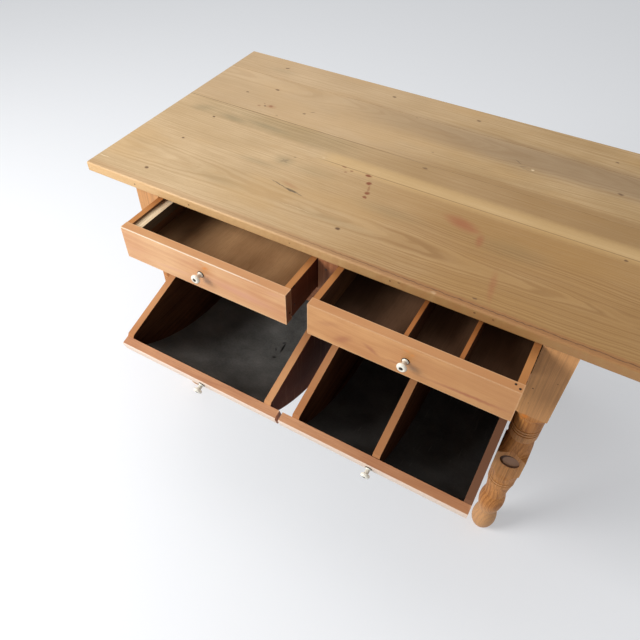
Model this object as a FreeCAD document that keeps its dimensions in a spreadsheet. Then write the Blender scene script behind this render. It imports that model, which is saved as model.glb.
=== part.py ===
import FreeCAD, Part
import math
import os
import re
import Sketcher

# Bakers table with two drawers over two tilting possum-belly bins
# Millimetres, +X along the table to the right, +Y to the back, +Z up
# Places along Y are counted from the front edge of the top, then moved by origin_shift

doc = FreeCAD.newDocument("BakersTable")
sheet = doc.addObject("Spreadsheet::Sheet", "Sizes")

SIZES = {
    # Top of three boards
    "table_height": 762,
    "top_length": 1186,
    "top_depth": 654,
    "top_thickness": 23,
    "front_board_width": 368,
    "back_board_width": 104,
    "top_edge_round": 4,
    "seam_ease": 0.8,
    "end_overhang": 110,
    "front_overhang": 22,
    "back_overhang": 18.5,
    # Turned legs, heights up from the floor
    "leg_width": 62,
    "foot_radius": 14,
    "ball_radius": 29.5,
    "ball_top": 87,
    "ball_neck_radius": 22,
    "bulb_bottom": 91,
    "bulb_radius": 30,
    "bulb_middle": 136,
    "waist_radius": 24.5,
    "waist_height": 173,
    "vase_radius": 30.5,
    "vase_top": 236,
    "scribe_pitch": 8,
    "scribe_width": 2.6,
    "scribe_depth": 1.4,
    "low_block_start": 261,
    "low_block_full": 316,
    "low_block_end": 370,
    "low_block_top": 393,
    "cone_radius": 27.5,
    "cone_top": 426,
    "column_radius": 30.5,
    "column_bottom": 433,
    "ring_pitch": 8.2,
    "ring_width": 3.8,
    "ring_depth": 2,
    "rings_bottom": 451,
    "high_block_start": 503,
    "high_block_full": 526,
    "socket_height": 353,
    "socket_radius": 21,
    "socket_depth": 4.5,
    # Case round the drawers and bins
    "apron_height": 180,
    "apron_thickness": 22,
    "apron_setback": 6,
    "top_rail_thickness": 19,
    "top_rail_depth": 60,
    "drawer_opening_height": 81,
    "middle_rail_height": 49,
    "middle_rail_thickness": 23,
    "stile_width": 43,
    "stile_thickness": 20,
    "runner_ledge": 17,
    "drawer_guide_thickness": 21,
    "drawer_guide_height": 24,
    "bin_guide_thickness": 18,
    "bin_guide_height": 71,
    # Drawers
    "drawer_length": 560,
    "drawer_end_gap": 1,
    "drawer_top_gap": 1.7,
    "running_gap": 0.3,
    "drawer_front_thickness": 20,
    "drawer_side_thickness": 13,
    "drawer_side_inset": 1,
    "drawer_side_lift": 2,
    "drawer_bottom_thickness": 6,
    "drawer_bottom_lift": 5,
    "drawer_groove_depth": 5,
    "left_drawer_out": 119.7,
    "right_drawer_out": 117.9,
    "till_strip_width": 20,
    "till_strip_height": 20,
    "till_strip_drop": 6,
    "divider_thickness": 8,
    "divider_drop": 5,
    "middle_compartment": 94.5,
    "narrow_compartment": 92.5,
    # Bins, seen level
    "bin_length": 545,
    "bin_side_gap": 5,
    "bin_top_gap": 2,
    "bin_front_gap": 2,
    "bin_side_thickness": 16,
    "bin_back_thickness": 14,
    "bin_lip": 45,
    "bin_depth": 254,
    "belly_flat": 85,
    "bin_heel_radius": 60,
    "bin_nose": 6,
    "bin_nose_drop": 5.5,
    "bin_front_thickness": 21,
    "bin_front_height": 38,
    "bin_front_drop": 5,
    "bin_fronts_gap": 8,
    "bin_front_round": 3,
    "bin_front_belly": 12,
    "bin_divider_place": 210,
    "lining_thickness": 1,
    "lining_lap": 34,
    # Bins' movement
    "bin_tilt": 17.2,
    "bin_out": 227.5,
    "heel_gap": 0.4,
    "rod_radius": 5,
    "rod_fit": 0.05,
    "rod_inset": 99,
    "rod_drop": 14,
    "rod_groove_depth": 12,
    "rod_groove_gap": 0.3,
    # Porcelain knobs on screws
    "drawer_knob_place": 222,
    "left_bin_knob_place": 195,
    "right_bin_knob_place": 213,
    "bin_knob_drop": 13,
    "knob_length": 19,
    "knob_radius": 10,
    "knob_head": 8,
    "knob_crown_radius": 5,
    "knob_neck_radius": 4.5,
    "knob_base_radius": 6.5,
    "knob_foot": 3,
    "knob_dimple": 2,
    "washer_radius": 7.5,
    "washer_thickness": 1.5,
    "screw_radius": 2,
    "screw_head_radius": 4,
    "screw_head": 2.5,
    "screw_reach": 15,
    "screw_point": 4,
    "screw_fit": 0.15,
}

for row, (name, size) in enumerate(SIZES.items(), start=1):
    sheet.set(f"A{row}", name)
    sheet.set(f"B{row}", str(size))
    sheet.setAlias(f"B{row}", name)
doc.recompute()

subparts = []

# How near two places are when they count as one, and the names that a sketch gives to an edge's points
SAME_PLACE = 1e-6
START, END, CENTRE = range(1, 4)


def formula(text):
    """Point each size's name in a formula at the sheet."""
    return re.sub(r"[a-z]\w+", lambda word: "Sizes." + word[0] if word[0] in SIZES else word[0], text)


def measure(text):
    """Give the value of a formula as a number."""
    answer = sheet.evalExpression(formula(text))
    return float(getattr(answer, "Value", answer))


def bind(thing, **formulas):
    """Tie properties of an object to formulas of the sheet's sizes."""
    for prop, text in formulas.items():
        thing.setExpression(prop, formula(text))


def place(thing, x, y, z, turn="0"):
    """Seat an object at a place on the table, turned about X."""
    rotation = FreeCAD.Rotation(FreeCAD.Vector(1, 0, 0), measure(turn))
    thing.Placement = FreeCAD.Placement(FreeCAD.Vector(), rotation)
    if turn != "0":
        thing.setExpression("Placement.Rotation.Angle", formula(turn))
    thing.setExpression("Placement.Base.x", formula(x))
    thing.setExpression("Placement.Base.y", formula(f"{y} - ({MIDDLE})"))
    thing.setExpression("Placement.Base.z", formula(z))


def keep(thing, label):
    """Name a finished sub-part and put it on the list to write out."""
    thing.Label = label
    subparts.append(thing)
    return thing


def board(label, size, at, turn="0"):
    """Make a plain board of (length, width, height) formulas with its corner at a place."""
    solid = doc.addObject("Part::Box", label)
    bind(solid, Length=size[0], Width=size[1], Height=size[2])
    place(solid, *at, turn)
    return keep(solid, label)


def new_body(label):
    return doc.addObject("PartDesign::Body", label)


def plane_of(body, role):
    """Find one of a body's own origin planes or axes."""
    return next(item for item in body.Origin.OriginFeatures if item.Role == role)


def new_sketch(body, name, role="XY_Plane"):
    sketch = body.newObject("Sketcher::SketchObject", name)
    sketch.AttachmentSupport = (plane_of(body, role), [""])
    sketch.MapMode = "FlatFace"
    return sketch


def pin_point(sketch, geometry, end, x, y):
    """Fix a point of a sketch by formulas for its two coordinates."""
    for kind, text in (("DistanceX", x), ("DistanceY", y)):
        if text is None:
            continue
        number = sketch.addConstraint(Sketcher.Constraint(kind, -1, 1, geometry, end, measure(text)))
        sketch.setExpression(f"Constraints[{number}]", formula(text))


def to(x, y):
    """A straight edge to a point."""
    return ("line", x, y)


def curve(x, y, centre_x, centre_y, turn, fixed="x"):
    """A round edge to a point, about a centre of which one coordinate fixes the arc."""
    return ("arc", x, y, centre_x, centre_y, turn, fixed)


def outline(sketch, start, edges):
    """Draw a closed outline of lines and arcs, each corner tied to the sheet."""
    here = FreeCAD.Vector(measure(start[0]), measure(start[1]), 0)
    numbers = []
    for edge in edges:
        there = FreeCAD.Vector(measure(edge[1]), measure(edge[2]), 0)
        if edge[0] == "line":
            numbers.append((sketch.addGeometry(Part.LineSegment(here, there)), START, END))
        else:
            centre = FreeCAD.Vector(measure(edge[3]), measure(edge[4]), 0)
            radius = (here - centre).Length
            circle = Part.Circle(centre, FreeCAD.Vector(0, 0, 1), radius)
            angles = [math.atan2(p.y - centre.y, p.x - centre.x) for p in (here, there)]
            if edge[5] == "left":
                numbers.append((sketch.addGeometry(Part.ArcOfCircle(circle, *angles)), START, END))
            else:
                numbers.append((sketch.addGeometry(Part.ArcOfCircle(circle, *reversed(angles))), END, START))
        here = there
    corners = [start] + [edge[1:3] for edge in edges[:-1]]
    for index, (number, begin, end) in enumerate(numbers):
        following, next_begin, _ = numbers[(index + 1) % len(numbers)]
        sketch.addConstraint(Sketcher.Constraint("Coincident", number, end, following, next_begin))
        pin_point(sketch, number, begin, *corners[index])
        if edges[index][0] == "arc":
            centre_x, centre_y, _, fixed = edges[index][3:]
            if fixed == "x":
                pin_point(sketch, number, CENTRE, centre_x, None)
            else:
                pin_point(sketch, number, CENTRE, None, centre_y)


def hole_in(sketch, x, y, radius):
    """Add a round hole to an outline."""
    circle = Part.Circle(FreeCAD.Vector(measure(x), measure(y), 0), FreeCAD.Vector(0, 0, 1), measure(radius))
    number = sketch.addGeometry(circle)
    pin_point(sketch, number, CENTRE, x, y)
    size = sketch.addConstraint(Sketcher.Constraint("Radius", number, measure(radius)))
    sketch.setExpression(f"Constraints[{size}]", formula(radius))


def rectangle(sketch, left, right, near, far):
    outline(sketch, (left, near), [to(right, near), to(right, far), to(left, far), to(left, near)])


def pad(body, sketch, length, backwards=False):
    feature = body.newObject("PartDesign::Pad", "Pad")
    feature.Profile = sketch
    feature.Reversed = backwards
    bind(feature, Length=length)
    return feature


def pocket(body, sketch, depth, offset, backwards=False):
    """Cut a sketch into the body from a face that lies at an offset from the sketch's plane."""
    sketch.setExpression("AttachmentOffset.Base.z", formula(offset))
    feature = body.newObject("PartDesign::Pocket", "Pocket")
    feature.Profile = sketch
    feature.Reversed = backwards
    bind(feature, Length=depth)
    return feature


def revolve(body, sketch, kind="Revolution"):
    """Turn a sketch about the body's upright axis, to add or to cut away."""
    feature = body.newObject("PartDesign::" + kind, kind)
    feature.Profile = sketch
    feature.ReferenceAxis = (sketch, ["V_Axis"])
    feature.Angle = 360
    return feature


def edges_where(feature, test):
    """Name the edges of a feature whose middle and direction pass a test."""
    names = []
    for number, edge in enumerate(feature.Shape.Edges, start=1):
        middle = edge.valueAt((edge.FirstParameter + edge.LastParameter) / 2)
        along = edge.tangentAt(edge.FirstParameter)
        if test(middle, along):
            names.append(f"Edge{number}")
    return names


def round_off(body, feature, test, radius):
    """Round the edges of a feature that pass a test."""
    doc.recompute()
    fillet = body.newObject("PartDesign::Fillet", "Fillet")
    fillet.Base = (feature, edges_where(feature, test))
    bind(fillet, Radius=radius)
    return fillet


# Places that many pieces share, as formulas

LEG_OUTER = "(top_length / 2 - end_overhang)"
LEG_INNER = "(top_length / 2 - end_overhang - leg_width)"
LEG_BACK = "(front_overhang + leg_width)"
REAR_LEG = "(top_depth - back_overhang - leg_width)"
CASE_TOP = "(table_height - top_thickness)"
CASE_FRONT = "front_overhang"
APRON_FACE = "(top_depth - back_overhang - apron_setback - apron_thickness)"
TOP_RAIL_UNDER = f"({CASE_TOP} - top_rail_thickness)"
RAIL_TOP = f"({TOP_RAIL_UNDER} - drawer_opening_height)"
RAIL_UNDER = f"({RAIL_TOP} - middle_rail_height)"
RAIL_BACK = "(front_overhang + middle_rail_thickness)"
OPENING_WIDTH = f"({LEG_INNER} - stile_width / 2)"

# The rod on which a bin tips, and the stop over the bin's heel

ROD_HEIGHT = f"({RAIL_UNDER} - bin_top_gap - rod_drop)"
ROD_BACK = "(bin_length - rod_inset)"
ROD_CLOSED = f"({RAIL_BACK} - bin_front_gap + {ROD_BACK})"
ROD_OPEN = f"({ROD_CLOSED} - bin_out)"
BIN_WIDTH = f"({OPENING_WIDTH} - 2 * bin_side_gap)"
BELLY_DROP = "(bin_depth - bin_lip)"
BELLY_REACH = "(bin_length - bin_heel_radius - belly_flat)"
BELLY_RADIUS = f"(({BELLY_REACH} * {BELLY_REACH} + {BELLY_DROP} * {BELLY_DROP}) / (2 * {BELLY_DROP}))"
BIN_BOTTOM = "(-bin_depth)"
HEEL_TOP = "(bin_heel_radius - bin_depth)"
BELLY_CENTRE = f"({BELLY_RADIUS} - bin_depth)"


def bin_point(back, up):
    """Place of a point of a tipped bin, counted from the front end of its top edges."""
    along = f"({back} - {ROD_BACK})"
    over = f"({up} + rod_drop)"
    return (f"({ROD_OPEN} + {along} * cos(bin_tilt) - {over} * sin(bin_tilt))",
            f"({ROD_HEIGHT} + {along} * sin(bin_tilt) + {over} * cos(bin_tilt))")


RUNNER_TOP = f"({RAIL_TOP} + drawer_side_lift)"
RUNNER_UNDER = f"({bin_point('bin_length', '0')[1]} + heel_gap)"

# The furthest point in front, on the rim of a bin's knob, and the middle of the table's depth

RIM_STEP = "(knob_radius - knob_crown_radius)"
RIM_RADIUS = f"(({RIM_STEP} * {RIM_STEP} + knob_head * knob_head / 4) / (2 * {RIM_STEP}))"
RIM_HEIGHT = "(washer_thickness + knob_length - knob_head / 2)"
RIM_FRONT = f"({RIM_HEIGHT} * cos(bin_tilt) + (knob_radius - {RIM_RADIUS}) * sin(bin_tilt) + {RIM_RADIUS})"
BIN_KNOB_HEIGHT = "(-bin_front_drop - bin_knob_drop)"
BIN_KNOB_SEAT = bin_point("(-bin_front_thickness)", BIN_KNOB_HEIGHT)
MIDDLE = f"(top_depth + {BIN_KNOB_SEAT[0]} - {RIM_FRONT}) / 2"


def make_top():
    """Three boards side by side, worn round along the front and the ends."""
    back_near = "(top_depth - back_board_width)"
    widths = {
        "top_board_front": ("0", "front_board_width"),
        "top_board_middle": ("front_board_width", f"({back_near} - front_board_width)"),
        "top_board_back": (back_near, "back_board_width"),
    }
    for label, (near, width) in widths.items():
        body = new_body(label)
        sketch = new_sketch(body, "Outline")
        rectangle(sketch, "-top_length / 2", "top_length / 2", "0", width)
        slab = pad(body, sketch, "top_thickness")
        high, far = measure("top_thickness / 2"), measure("top_length / 2")

        def on_end(middle, along):
            return middle.z > high and abs(abs(middle.x) - far) < SAME_PLACE and abs(along.y) > 0.5

        def on_front(middle, along):
            return abs(middle.y) < SAME_PLACE and abs(along.x) > 0.5

        def on_seam(middle, along):
            return middle.z > high and abs(along.x) > 0.5

        worn = on_front if label == "top_board_front" else on_seam
        ease = "top_edge_round" if label == "top_board_front" else "seam_ease"
        eased = round_off(body, slab, worn, ease)
        round_off(body, eased, on_end, "seam_ease")
        place(body, "0", near, CASE_TOP)
        keep(body, label)


def bulge_centre(peak, neck, bottom, top):
    """Centre of a bead or cove between two equal radii, from its peak or hollow."""
    rise = f"({peak} - {neck})"
    chord = f"(({top} - {bottom}) / 2)"
    return f"({peak} - ({rise} * {rise} + {chord} * {chord}) / (2 * {rise}))"


# Rings cut round the column below the high block, and lines scribed round the vase
RINGS = 3
SCRIBES = 2

# The turning is cut out to just past the square's corners, as a share of the leg's width
TURNING_SHARE = 0.74
TURNING_REACH = f"({TURNING_SHARE} * leg_width)"


def swell_radius(out, run):
    """Radius of the curve that swells by one length over a run of another."""
    return f"(({out} * {out} + {run} * {run}) / (2 * {out}))"


def shoulder_radius(block_start, block_full):
    """Radius of the curve that runs from the turned round out past the square's corners."""
    return swell_radius(f"({TURNING_REACH} - leg_width / 2)", f"({block_full} - {block_start})")


def leg_foot(body):
    """Waste turned away below the low block: shoulder, vase, bulb and ball foot."""
    sketch = new_sketch(body, "FootWaste", "XZ_Plane")
    round_radius = "leg_width / 2"
    shoulder = shoulder_radius("low_block_start", "low_block_full")
    middle = "(ball_top / 2)"
    ball_low = swell_radius("(ball_radius - foot_radius)", middle)
    ball_high = swell_radius("(ball_radius - ball_neck_radius)", middle)
    bulb_low = swell_radius("(bulb_radius - ball_neck_radius)", "(bulb_middle - bulb_bottom)")
    bulb_high = swell_radius("(bulb_radius - waist_radius)", "(waist_height - bulb_middle)")
    vase = swell_radius("(vase_radius - waist_radius)", "(vase_top - waist_height)")
    edges = [
        curve("ball_radius", middle, f"ball_radius - {ball_low}", middle, "left", "y"),
        curve("ball_neck_radius", "ball_top", f"ball_radius - {ball_high}", middle, "left", "y"),
        to("ball_neck_radius", "bulb_bottom"),
        curve("bulb_radius", "bulb_middle", f"bulb_radius - {bulb_low}", "bulb_middle", "left", "y"),
        curve("waist_radius", "waist_height", f"bulb_radius - {bulb_high}", "bulb_middle", "left", "y"),
        curve("vase_radius", "vase_top", f"waist_radius + {vase}", "waist_height", "right", "y"),
    ]
    for number in range(1, SCRIBES + 1):
        low = f"(vase_top + {number} * scribe_pitch)"
        high = f"({low} + scribe_width)"
        edges.append(to("vase_radius", low))
        edges.append(curve("vase_radius", high,
                           bulge_centre("(vase_radius - scribe_depth)", "vase_radius", low, high),
                           f"({low} + scribe_width / 2)", "right"))
    edges += [
        to("vase_radius", "low_block_start"),
        to(round_radius, "low_block_start"),
        curve(TURNING_REACH, "low_block_full", f"({round_radius} + {shoulder})", "low_block_start",
              "right", "y"),
        to(f"{TURNING_REACH} + ring_width", "low_block_full"),
        to(f"{TURNING_REACH} + ring_width", "0"),
        to("foot_radius", "0"),
    ]
    outline(sketch, ("foot_radius", "0"), edges)
    return revolve(body, sketch, "Groove")


def leg_column(body):
    """Waste turned away between the two blocks: shoulder, cone, column with rings and shoulder."""
    sketch = new_sketch(body, "ColumnWaste", "XZ_Plane")
    round_radius = "leg_width / 2"
    low_shoulder = shoulder_radius("low_block_end", "low_block_top")
    high_shoulder = shoulder_radius("high_block_start", "high_block_full")
    edges = [
        curve(round_radius, "low_block_top", f"({round_radius} + {low_shoulder})", "low_block_top",
              "right", "y"),
        to("cone_radius", "cone_top"),
        to("column_radius", "column_bottom"),
    ]
    for number in range(RINGS):
        low = f"(rings_bottom + {number} * ring_pitch)"
        high = f"({low} + ring_width)"
        edges.append(to("column_radius", low))
        edges.append(curve("column_radius", high,
                           bulge_centre("(column_radius - ring_depth)", "column_radius", low, high),
                           f"({low} + ring_width / 2)", "right"))
    edges += [
        to("column_radius", "high_block_start"),
        to(round_radius, "high_block_start"),
        curve(TURNING_REACH, "high_block_full", f"{round_radius} + {high_shoulder}", "high_block_start",
              "right", "y"),
        to(f"{TURNING_REACH} + ring_width", "high_block_full"),
        to(f"{TURNING_REACH} + ring_width", "low_block_end"),
        to(TURNING_REACH, "low_block_end"),
    ]
    outline(sketch, (TURNING_REACH, "low_block_end"), edges)
    return revolve(body, sketch, "Groove")


def make_leg(label, side, row):
    """A square leg turned between and below its two blocks."""
    body = new_body(label)
    sketch = new_sketch(body, "Square")
    rectangle(sketch, "-leg_width / 2", "leg_width / 2", "-leg_width / 2", "leg_width / 2")
    pad(body, sketch, CASE_TOP)
    leg_foot(body)
    leg_column(body)
    if row == "front":
        mouth = new_sketch(body, "Socket", "XZ_Plane")
        hole_in(mouth, "0", "socket_height", "socket_radius")
        pocket(body, mouth, "socket_depth", "leg_width / 2")
    near = CASE_FRONT if row == "front" else REAR_LEG
    place(body, f"{side} * ({LEG_INNER} + leg_width / 2)", f"{near} + leg_width / 2", "0")
    keep(body, label)


def section(label, x, near, height, outline_start, edges, length):
    """Make a length of an upright cross-section that runs from a place towards the back."""
    body = new_body(label)
    sketch = new_sketch(body, "Section", "XZ_Plane")
    outline(sketch, outline_start, edges)
    pad(body, sketch, length, backwards=True)
    place(body, x, near, height)
    return keep(body, label)


def make_case():
    """Aprons, rails and stile between the legs."""
    side_run = f"{REAR_LEG} - {LEG_BACK}"
    apron_bottom = f"{CASE_TOP} - apron_height"
    side_size = ("apron_thickness", side_run, "apron_height")
    board("apron_left", side_size, (f"-{LEG_OUTER} + apron_setback", LEG_BACK, apron_bottom))
    board("apron_right", side_size,
          (f"{LEG_OUTER} - apron_setback - apron_thickness", LEG_BACK, apron_bottom))
    full_run = f"2 * {LEG_INNER}"
    board("apron_back", (full_run, "apron_thickness", "apron_height"),
          (f"-{LEG_INNER}", APRON_FACE, apron_bottom))
    board("rail_top", (full_run, "top_rail_depth", "top_rail_thickness"),
          (f"-{LEG_INNER}", CASE_FRONT, TOP_RAIL_UNDER))
    board("rail_middle", (full_run, "middle_rail_thickness", "middle_rail_height"),
          (f"-{LEG_INNER}", CASE_FRONT, RAIL_UNDER))
    board("stile_front", ("stile_width", "stile_thickness", "drawer_opening_height"),
          ("-stile_width / 2", CASE_FRONT, RAIL_TOP))


def make_runners():
    """Runners under the drawers' sides, with guides between them; their undersides stop the bins' heels."""
    base = f"({RUNNER_TOP} - {RUNNER_UNDER})"
    guide_top = f"({base} + drawer_guide_height)"
    guide = "drawer_guide_thickness"
    full = "(drawer_guide_thickness + runner_ledge)"
    inner = f"({LEG_INNER} - drawer_side_inset)"
    for label, side in (("drawer_runner_left", -1), ("drawer_runner_right", 1)):
        # Counted from the guide's outer face towards the middle of the table
        section(label, f"{side} * ({inner} + {guide})", LEG_BACK, RUNNER_UNDER, ("0", "0"), [
            to(f"{-side} * {full}", "0"),
            to(f"{-side} * {full}", base),
            to(f"{-side} * {guide}", base),
            to(f"{-side} * {guide}", guide_top),
            to("0", guide_top),
            to("0", "0"),
        ], f"{REAR_LEG} - {LEG_BACK}")
    guide = "(stile_width / 2 + drawer_side_inset)"
    full = f"({guide} + runner_ledge)"
    section("drawer_runner_centre", "0", RAIL_BACK, RUNNER_UNDER, (f"-{full}", "0"), [
        to(full, "0"),
        to(full, base),
        to(guide, base),
        to(guide, guide_top),
        to(f"-{guide}", guide_top),
        to(f"-{guide}", base),
        to(f"-{full}", base),
        to(f"-{full}", "0"),
    ], f"{APRON_FACE} - {RAIL_BACK}")


def make_bin_guide(label, left, thickness, near, far, grooved):
    """A board beside a bin, grooved for the ends of the rod that the bin slides and tips on."""
    body = new_body(label)
    sketch = new_sketch(body, "Outline", "YZ_Plane")
    rectangle(sketch, near, far, "0", "bin_guide_height")
    pad(body, sketch, thickness)
    axis = f"({ROD_HEIGHT} - {RUNNER_UNDER} + bin_guide_height)"
    reach = "(rod_radius + rod_groove_gap)"
    for face in grooved:
        slot = new_sketch(body, "Groove", "YZ_Plane")
        outline(slot, (ROD_OPEN, f"({axis} - {reach})"), [
            to(ROD_CLOSED, f"({axis} - {reach})"),
            curve(ROD_CLOSED, f"({axis} + {reach})", ROD_CLOSED, axis, "left"),
            to(ROD_OPEN, f"({axis} + {reach})"),
            curve(ROD_OPEN, f"({axis} - {reach})", ROD_OPEN, axis, "left"),
        ])
        on_left = face == "left"
        pocket(body, slot, "rod_groove_depth", "0" if on_left else thickness, backwards=on_left)
    place(body, left, "0", f"{RUNNER_UNDER} - bin_guide_height")
    keep(body, label)


def make_knob(name, x, y, z, tilt="0"):
    """A porcelain knob on a washer, held by a screw, on a face that looks to the front."""
    turn = f"90 + {tilt}"
    bore = "(screw_radius + screw_fit)"
    seat = "washer_thickness"
    head = f"({seat} + knob_length - knob_head)"
    middle = f"({seat} + knob_length - knob_head / 2)"
    crown = f"({seat} + knob_length)"
    under = "(knob_radius - knob_neck_radius)"
    under_radius = f"(({under} * {under} + knob_head * knob_head / 4) / (2 * {under}))"
    dimple = "(screw_head_radius + screw_fit)"

    washer = new_body(f"{name}_washer")
    sketch = new_sketch(washer, "Section", "XZ_Plane")
    rectangle(sketch, bore, "washer_radius", "0", seat)
    revolve(washer, sketch)

    knob = new_body(f"{name}_knob")
    sketch = new_sketch(knob, "Section", "XZ_Plane")
    outline(sketch, (bore, seat), [
        to("knob_base_radius", seat),
        to("knob_neck_radius", f"({seat} + knob_foot)"),
        to("knob_neck_radius", head),
        curve("knob_radius", middle, f"(knob_radius - {under_radius})", middle, "left", "y"),
        curve("knob_crown_radius", crown, f"(knob_radius - {RIM_RADIUS})", middle, "left", "y"),
        to(dimple, crown),
        to(dimple, f"({crown} - knob_dimple)"),
        to(bore, f"({crown} - knob_dimple)"),
        to(bore, seat),
    ])
    revolve(knob, sketch)

    screw = new_body(f"{name}_screw")
    sketch = new_sketch(screw, "Section", "XZ_Plane")
    under_head = f"({crown} - knob_dimple)"
    dome = "((screw_head_radius * screw_head_radius + screw_head * screw_head) / (2 * screw_head))"
    outline(sketch, ("0", "-screw_reach"), [
        to("screw_radius", "(screw_point - screw_reach)"),
        to("screw_radius", under_head),
        to("screw_head_radius", under_head),
        curve("0", f"({under_head} + screw_head)", "0", f"({under_head} + screw_head - {dome})", "left"),
        to("0", "-screw_reach"),
    ])
    revolve(screw, sketch)

    for body in (washer, knob, screw):
        place(body, x, y, z, turn)
        keep(body, body.Name)


def make_drawer(name, left, out, knob_place):
    """A drawer box: front, two grooved sides, a panel in the grooves and a back over the panel."""
    front_y = f"({CASE_FRONT} - {out})"
    front_z = f"({RAIL_TOP} + running_gap)"
    height = "(drawer_opening_height - drawer_top_gap - running_gap)"
    width = f"({OPENING_WIDTH} - 2 * drawer_end_gap)"
    side_height = f"({height} - drawer_side_lift)"
    side_z = f"({front_z} + drawer_side_lift)"
    side_y = f"({front_y} + drawer_front_thickness)"
    groove_low = "drawer_bottom_lift"
    groove_high = "(drawer_bottom_lift + drawer_bottom_thickness)"
    inner_left = f"({left} + drawer_side_inset + drawer_side_thickness)"
    inner_width = f"({width} - 2 * drawer_side_inset - 2 * drawer_side_thickness)"
    side_length = "(drawer_length - drawer_front_thickness)"

    front = new_body(f"{name}_front")
    sketch = new_sketch(front, "Section", "YZ_Plane")
    depth = "drawer_front_thickness"
    lift = "drawer_side_lift"
    outline(sketch, ("0", "0"), [
        to(depth, "0"),
        to(depth, f"({lift} + {groove_low})"),
        to(f"({depth} - drawer_groove_depth)", f"({lift} + {groove_low})"),
        to(f"({depth} - drawer_groove_depth)", f"({lift} + {groove_high})"),
        to(depth, f"({lift} + {groove_high})"),
        to(depth, height),
        to("0", height),
        to("0", "0"),
    ])
    pad(front, sketch, width)
    pilot = new_sketch(front, "Pilot", "XZ_Plane")
    hole_in(pilot, f"({knob_place} - {left})", f"({height} / 2)", "(screw_radius + screw_fit)")
    pocket(front, pilot, "screw_reach", "0")
    place(front, left, front_y, front_z)
    keep(front, front.Name)

    thick = "drawer_side_thickness"
    for side, inward, at in (("left", 1, f"({left} + drawer_side_inset)"),
                             ("right", -1, f"({left} + {width} - drawer_side_inset)")):
        cut = f"{inward} * ({thick} - drawer_groove_depth)"
        section(f"{name}_side_{side}", at, side_y, side_z, ("0", "0"), [
            to(f"{inward} * {thick}", "0"),
            to(f"{inward} * {thick}", groove_low),
            to(cut, groove_low),
            to(cut, groove_high),
            to(f"{inward} * {thick}", groove_high),
            to(f"{inward} * {thick}", side_height),
            to("0", side_height),
            to("0", "0"),
        ], side_length)
    board(f"{name}_bottom",
          (f"{inner_width} + 2 * drawer_groove_depth", f"{side_length} + drawer_groove_depth",
           "drawer_bottom_thickness"),
          (f"{inner_left} - drawer_groove_depth", f"{side_y} - drawer_groove_depth",
           f"{side_z} + {groove_low}"))
    board(f"{name}_back", (inner_width, thick, f"{side_height} - {groove_high}"),
          (inner_left, f"{front_y} + drawer_length - {thick}", f"{side_z} + {groove_high}"))
    make_knob(name, knob_place, front_y, f"({front_z} + {height} / 2)")

    run = f"{side_length} - {thick}"
    if name == "drawer_left":
        board(f"{name}_strip", ("till_strip_width", run, "till_strip_height"),
              (inner_left, side_y, f"{side_z} + {side_height} - till_strip_drop - till_strip_height"))
    else:
        size = ("divider_thickness", run, f"{side_height} - {groove_high} - divider_drop")
        second = f"({inner_left} + {inner_width} - narrow_compartment - divider_thickness)"
        first = f"({second} - middle_compartment - divider_thickness)"
        board(f"{name}_divider_wide", size, (first, side_y, f"{side_z} + {groove_high}"))
        board(f"{name}_divider_narrow", size, (second, side_y, f"{side_z} + {groove_high}"))


def make_bin_side(label, x):
    """A bin's side, with the belly's round lower edge and the bore for the rod."""
    body = new_body(label)
    sketch = new_sketch(body, "Outline", "YZ_Plane")
    outline(sketch, ("0", "-bin_nose_drop"), [
        to("0", "-bin_lip"),
        curve(BELLY_REACH, BIN_BOTTOM, BELLY_REACH, BELLY_CENTRE, "left"),
        to("(bin_length - bin_heel_radius)", BIN_BOTTOM),
        curve("bin_length", HEEL_TOP, "(bin_length - bin_heel_radius)", HEEL_TOP, "left"),
        to("bin_length", "0"),
        to("bin_nose", "0"),
        to("0", "-bin_nose_drop"),
    ])
    hole_in(sketch, ROD_BACK, "-rod_drop", "(rod_radius + rod_fit)")
    pad(body, sketch, "bin_side_thickness")
    place(body, x, *bin_point("0", "0"), "bin_tilt")
    keep(body, label)


# How far the front lap reaches down into the band, as a share of the sheet's thickness
LAP_SINK_SHARE = 1.6


def make_lining(label, x):
    """One sheet bent round the belly, with a lap up the front rail and one up the back board."""
    body = new_body(label)
    sketch = new_sketch(body, "Band", "YZ_Plane")
    thick = "lining_thickness"
    outer = f"(bin_depth + {thick})"
    heel_near = "(bin_length - bin_heel_radius)"
    start_share = f"({thick} / {BELLY_RADIUS})"
    outline(sketch, ("0", "-bin_lip"), [
        to(f"(-{BELLY_REACH} * {start_share})", f"(-bin_lip - ({BELLY_CENTRE} + bin_lip) * {start_share})"),
        curve(BELLY_REACH, f"-{outer}", BELLY_REACH, BELLY_CENTRE, "left"),
        to(heel_near, f"-{outer}"),
        curve(f"(bin_length + {thick})", HEEL_TOP, heel_near, HEEL_TOP, "left"),
        to(f"(bin_length + {thick})", f"({HEEL_TOP} + lining_lap)"),
        to("bin_length", f"({HEEL_TOP} + lining_lap)"),
        to("bin_length", HEEL_TOP),
        curve(heel_near, BIN_BOTTOM, heel_near, HEEL_TOP, "right"),
        to(BELLY_REACH, BIN_BOTTOM),
        curve("0", "-bin_lip", BELLY_REACH, BELLY_CENTRE, "right"),
    ])
    pad(body, sketch, BIN_WIDTH)
    # The slope makes the band over one and a half times as high as thick: the lap's lower end lies in it
    lap = new_sketch(body, "Lap", "YZ_Plane")
    rectangle(lap, "0", thick, f"(-bin_lip - {LAP_SINK_SHARE} * {thick})", "(lining_lap - bin_lip)")
    lap.setExpression("AttachmentOffset.Base.z", formula("bin_side_thickness"))
    pad(body, lap, f"{BIN_WIDTH} - 2 * bin_side_thickness")
    place(body, x, *bin_point("0", "0"), "bin_tilt")
    keep(body, label)


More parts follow.
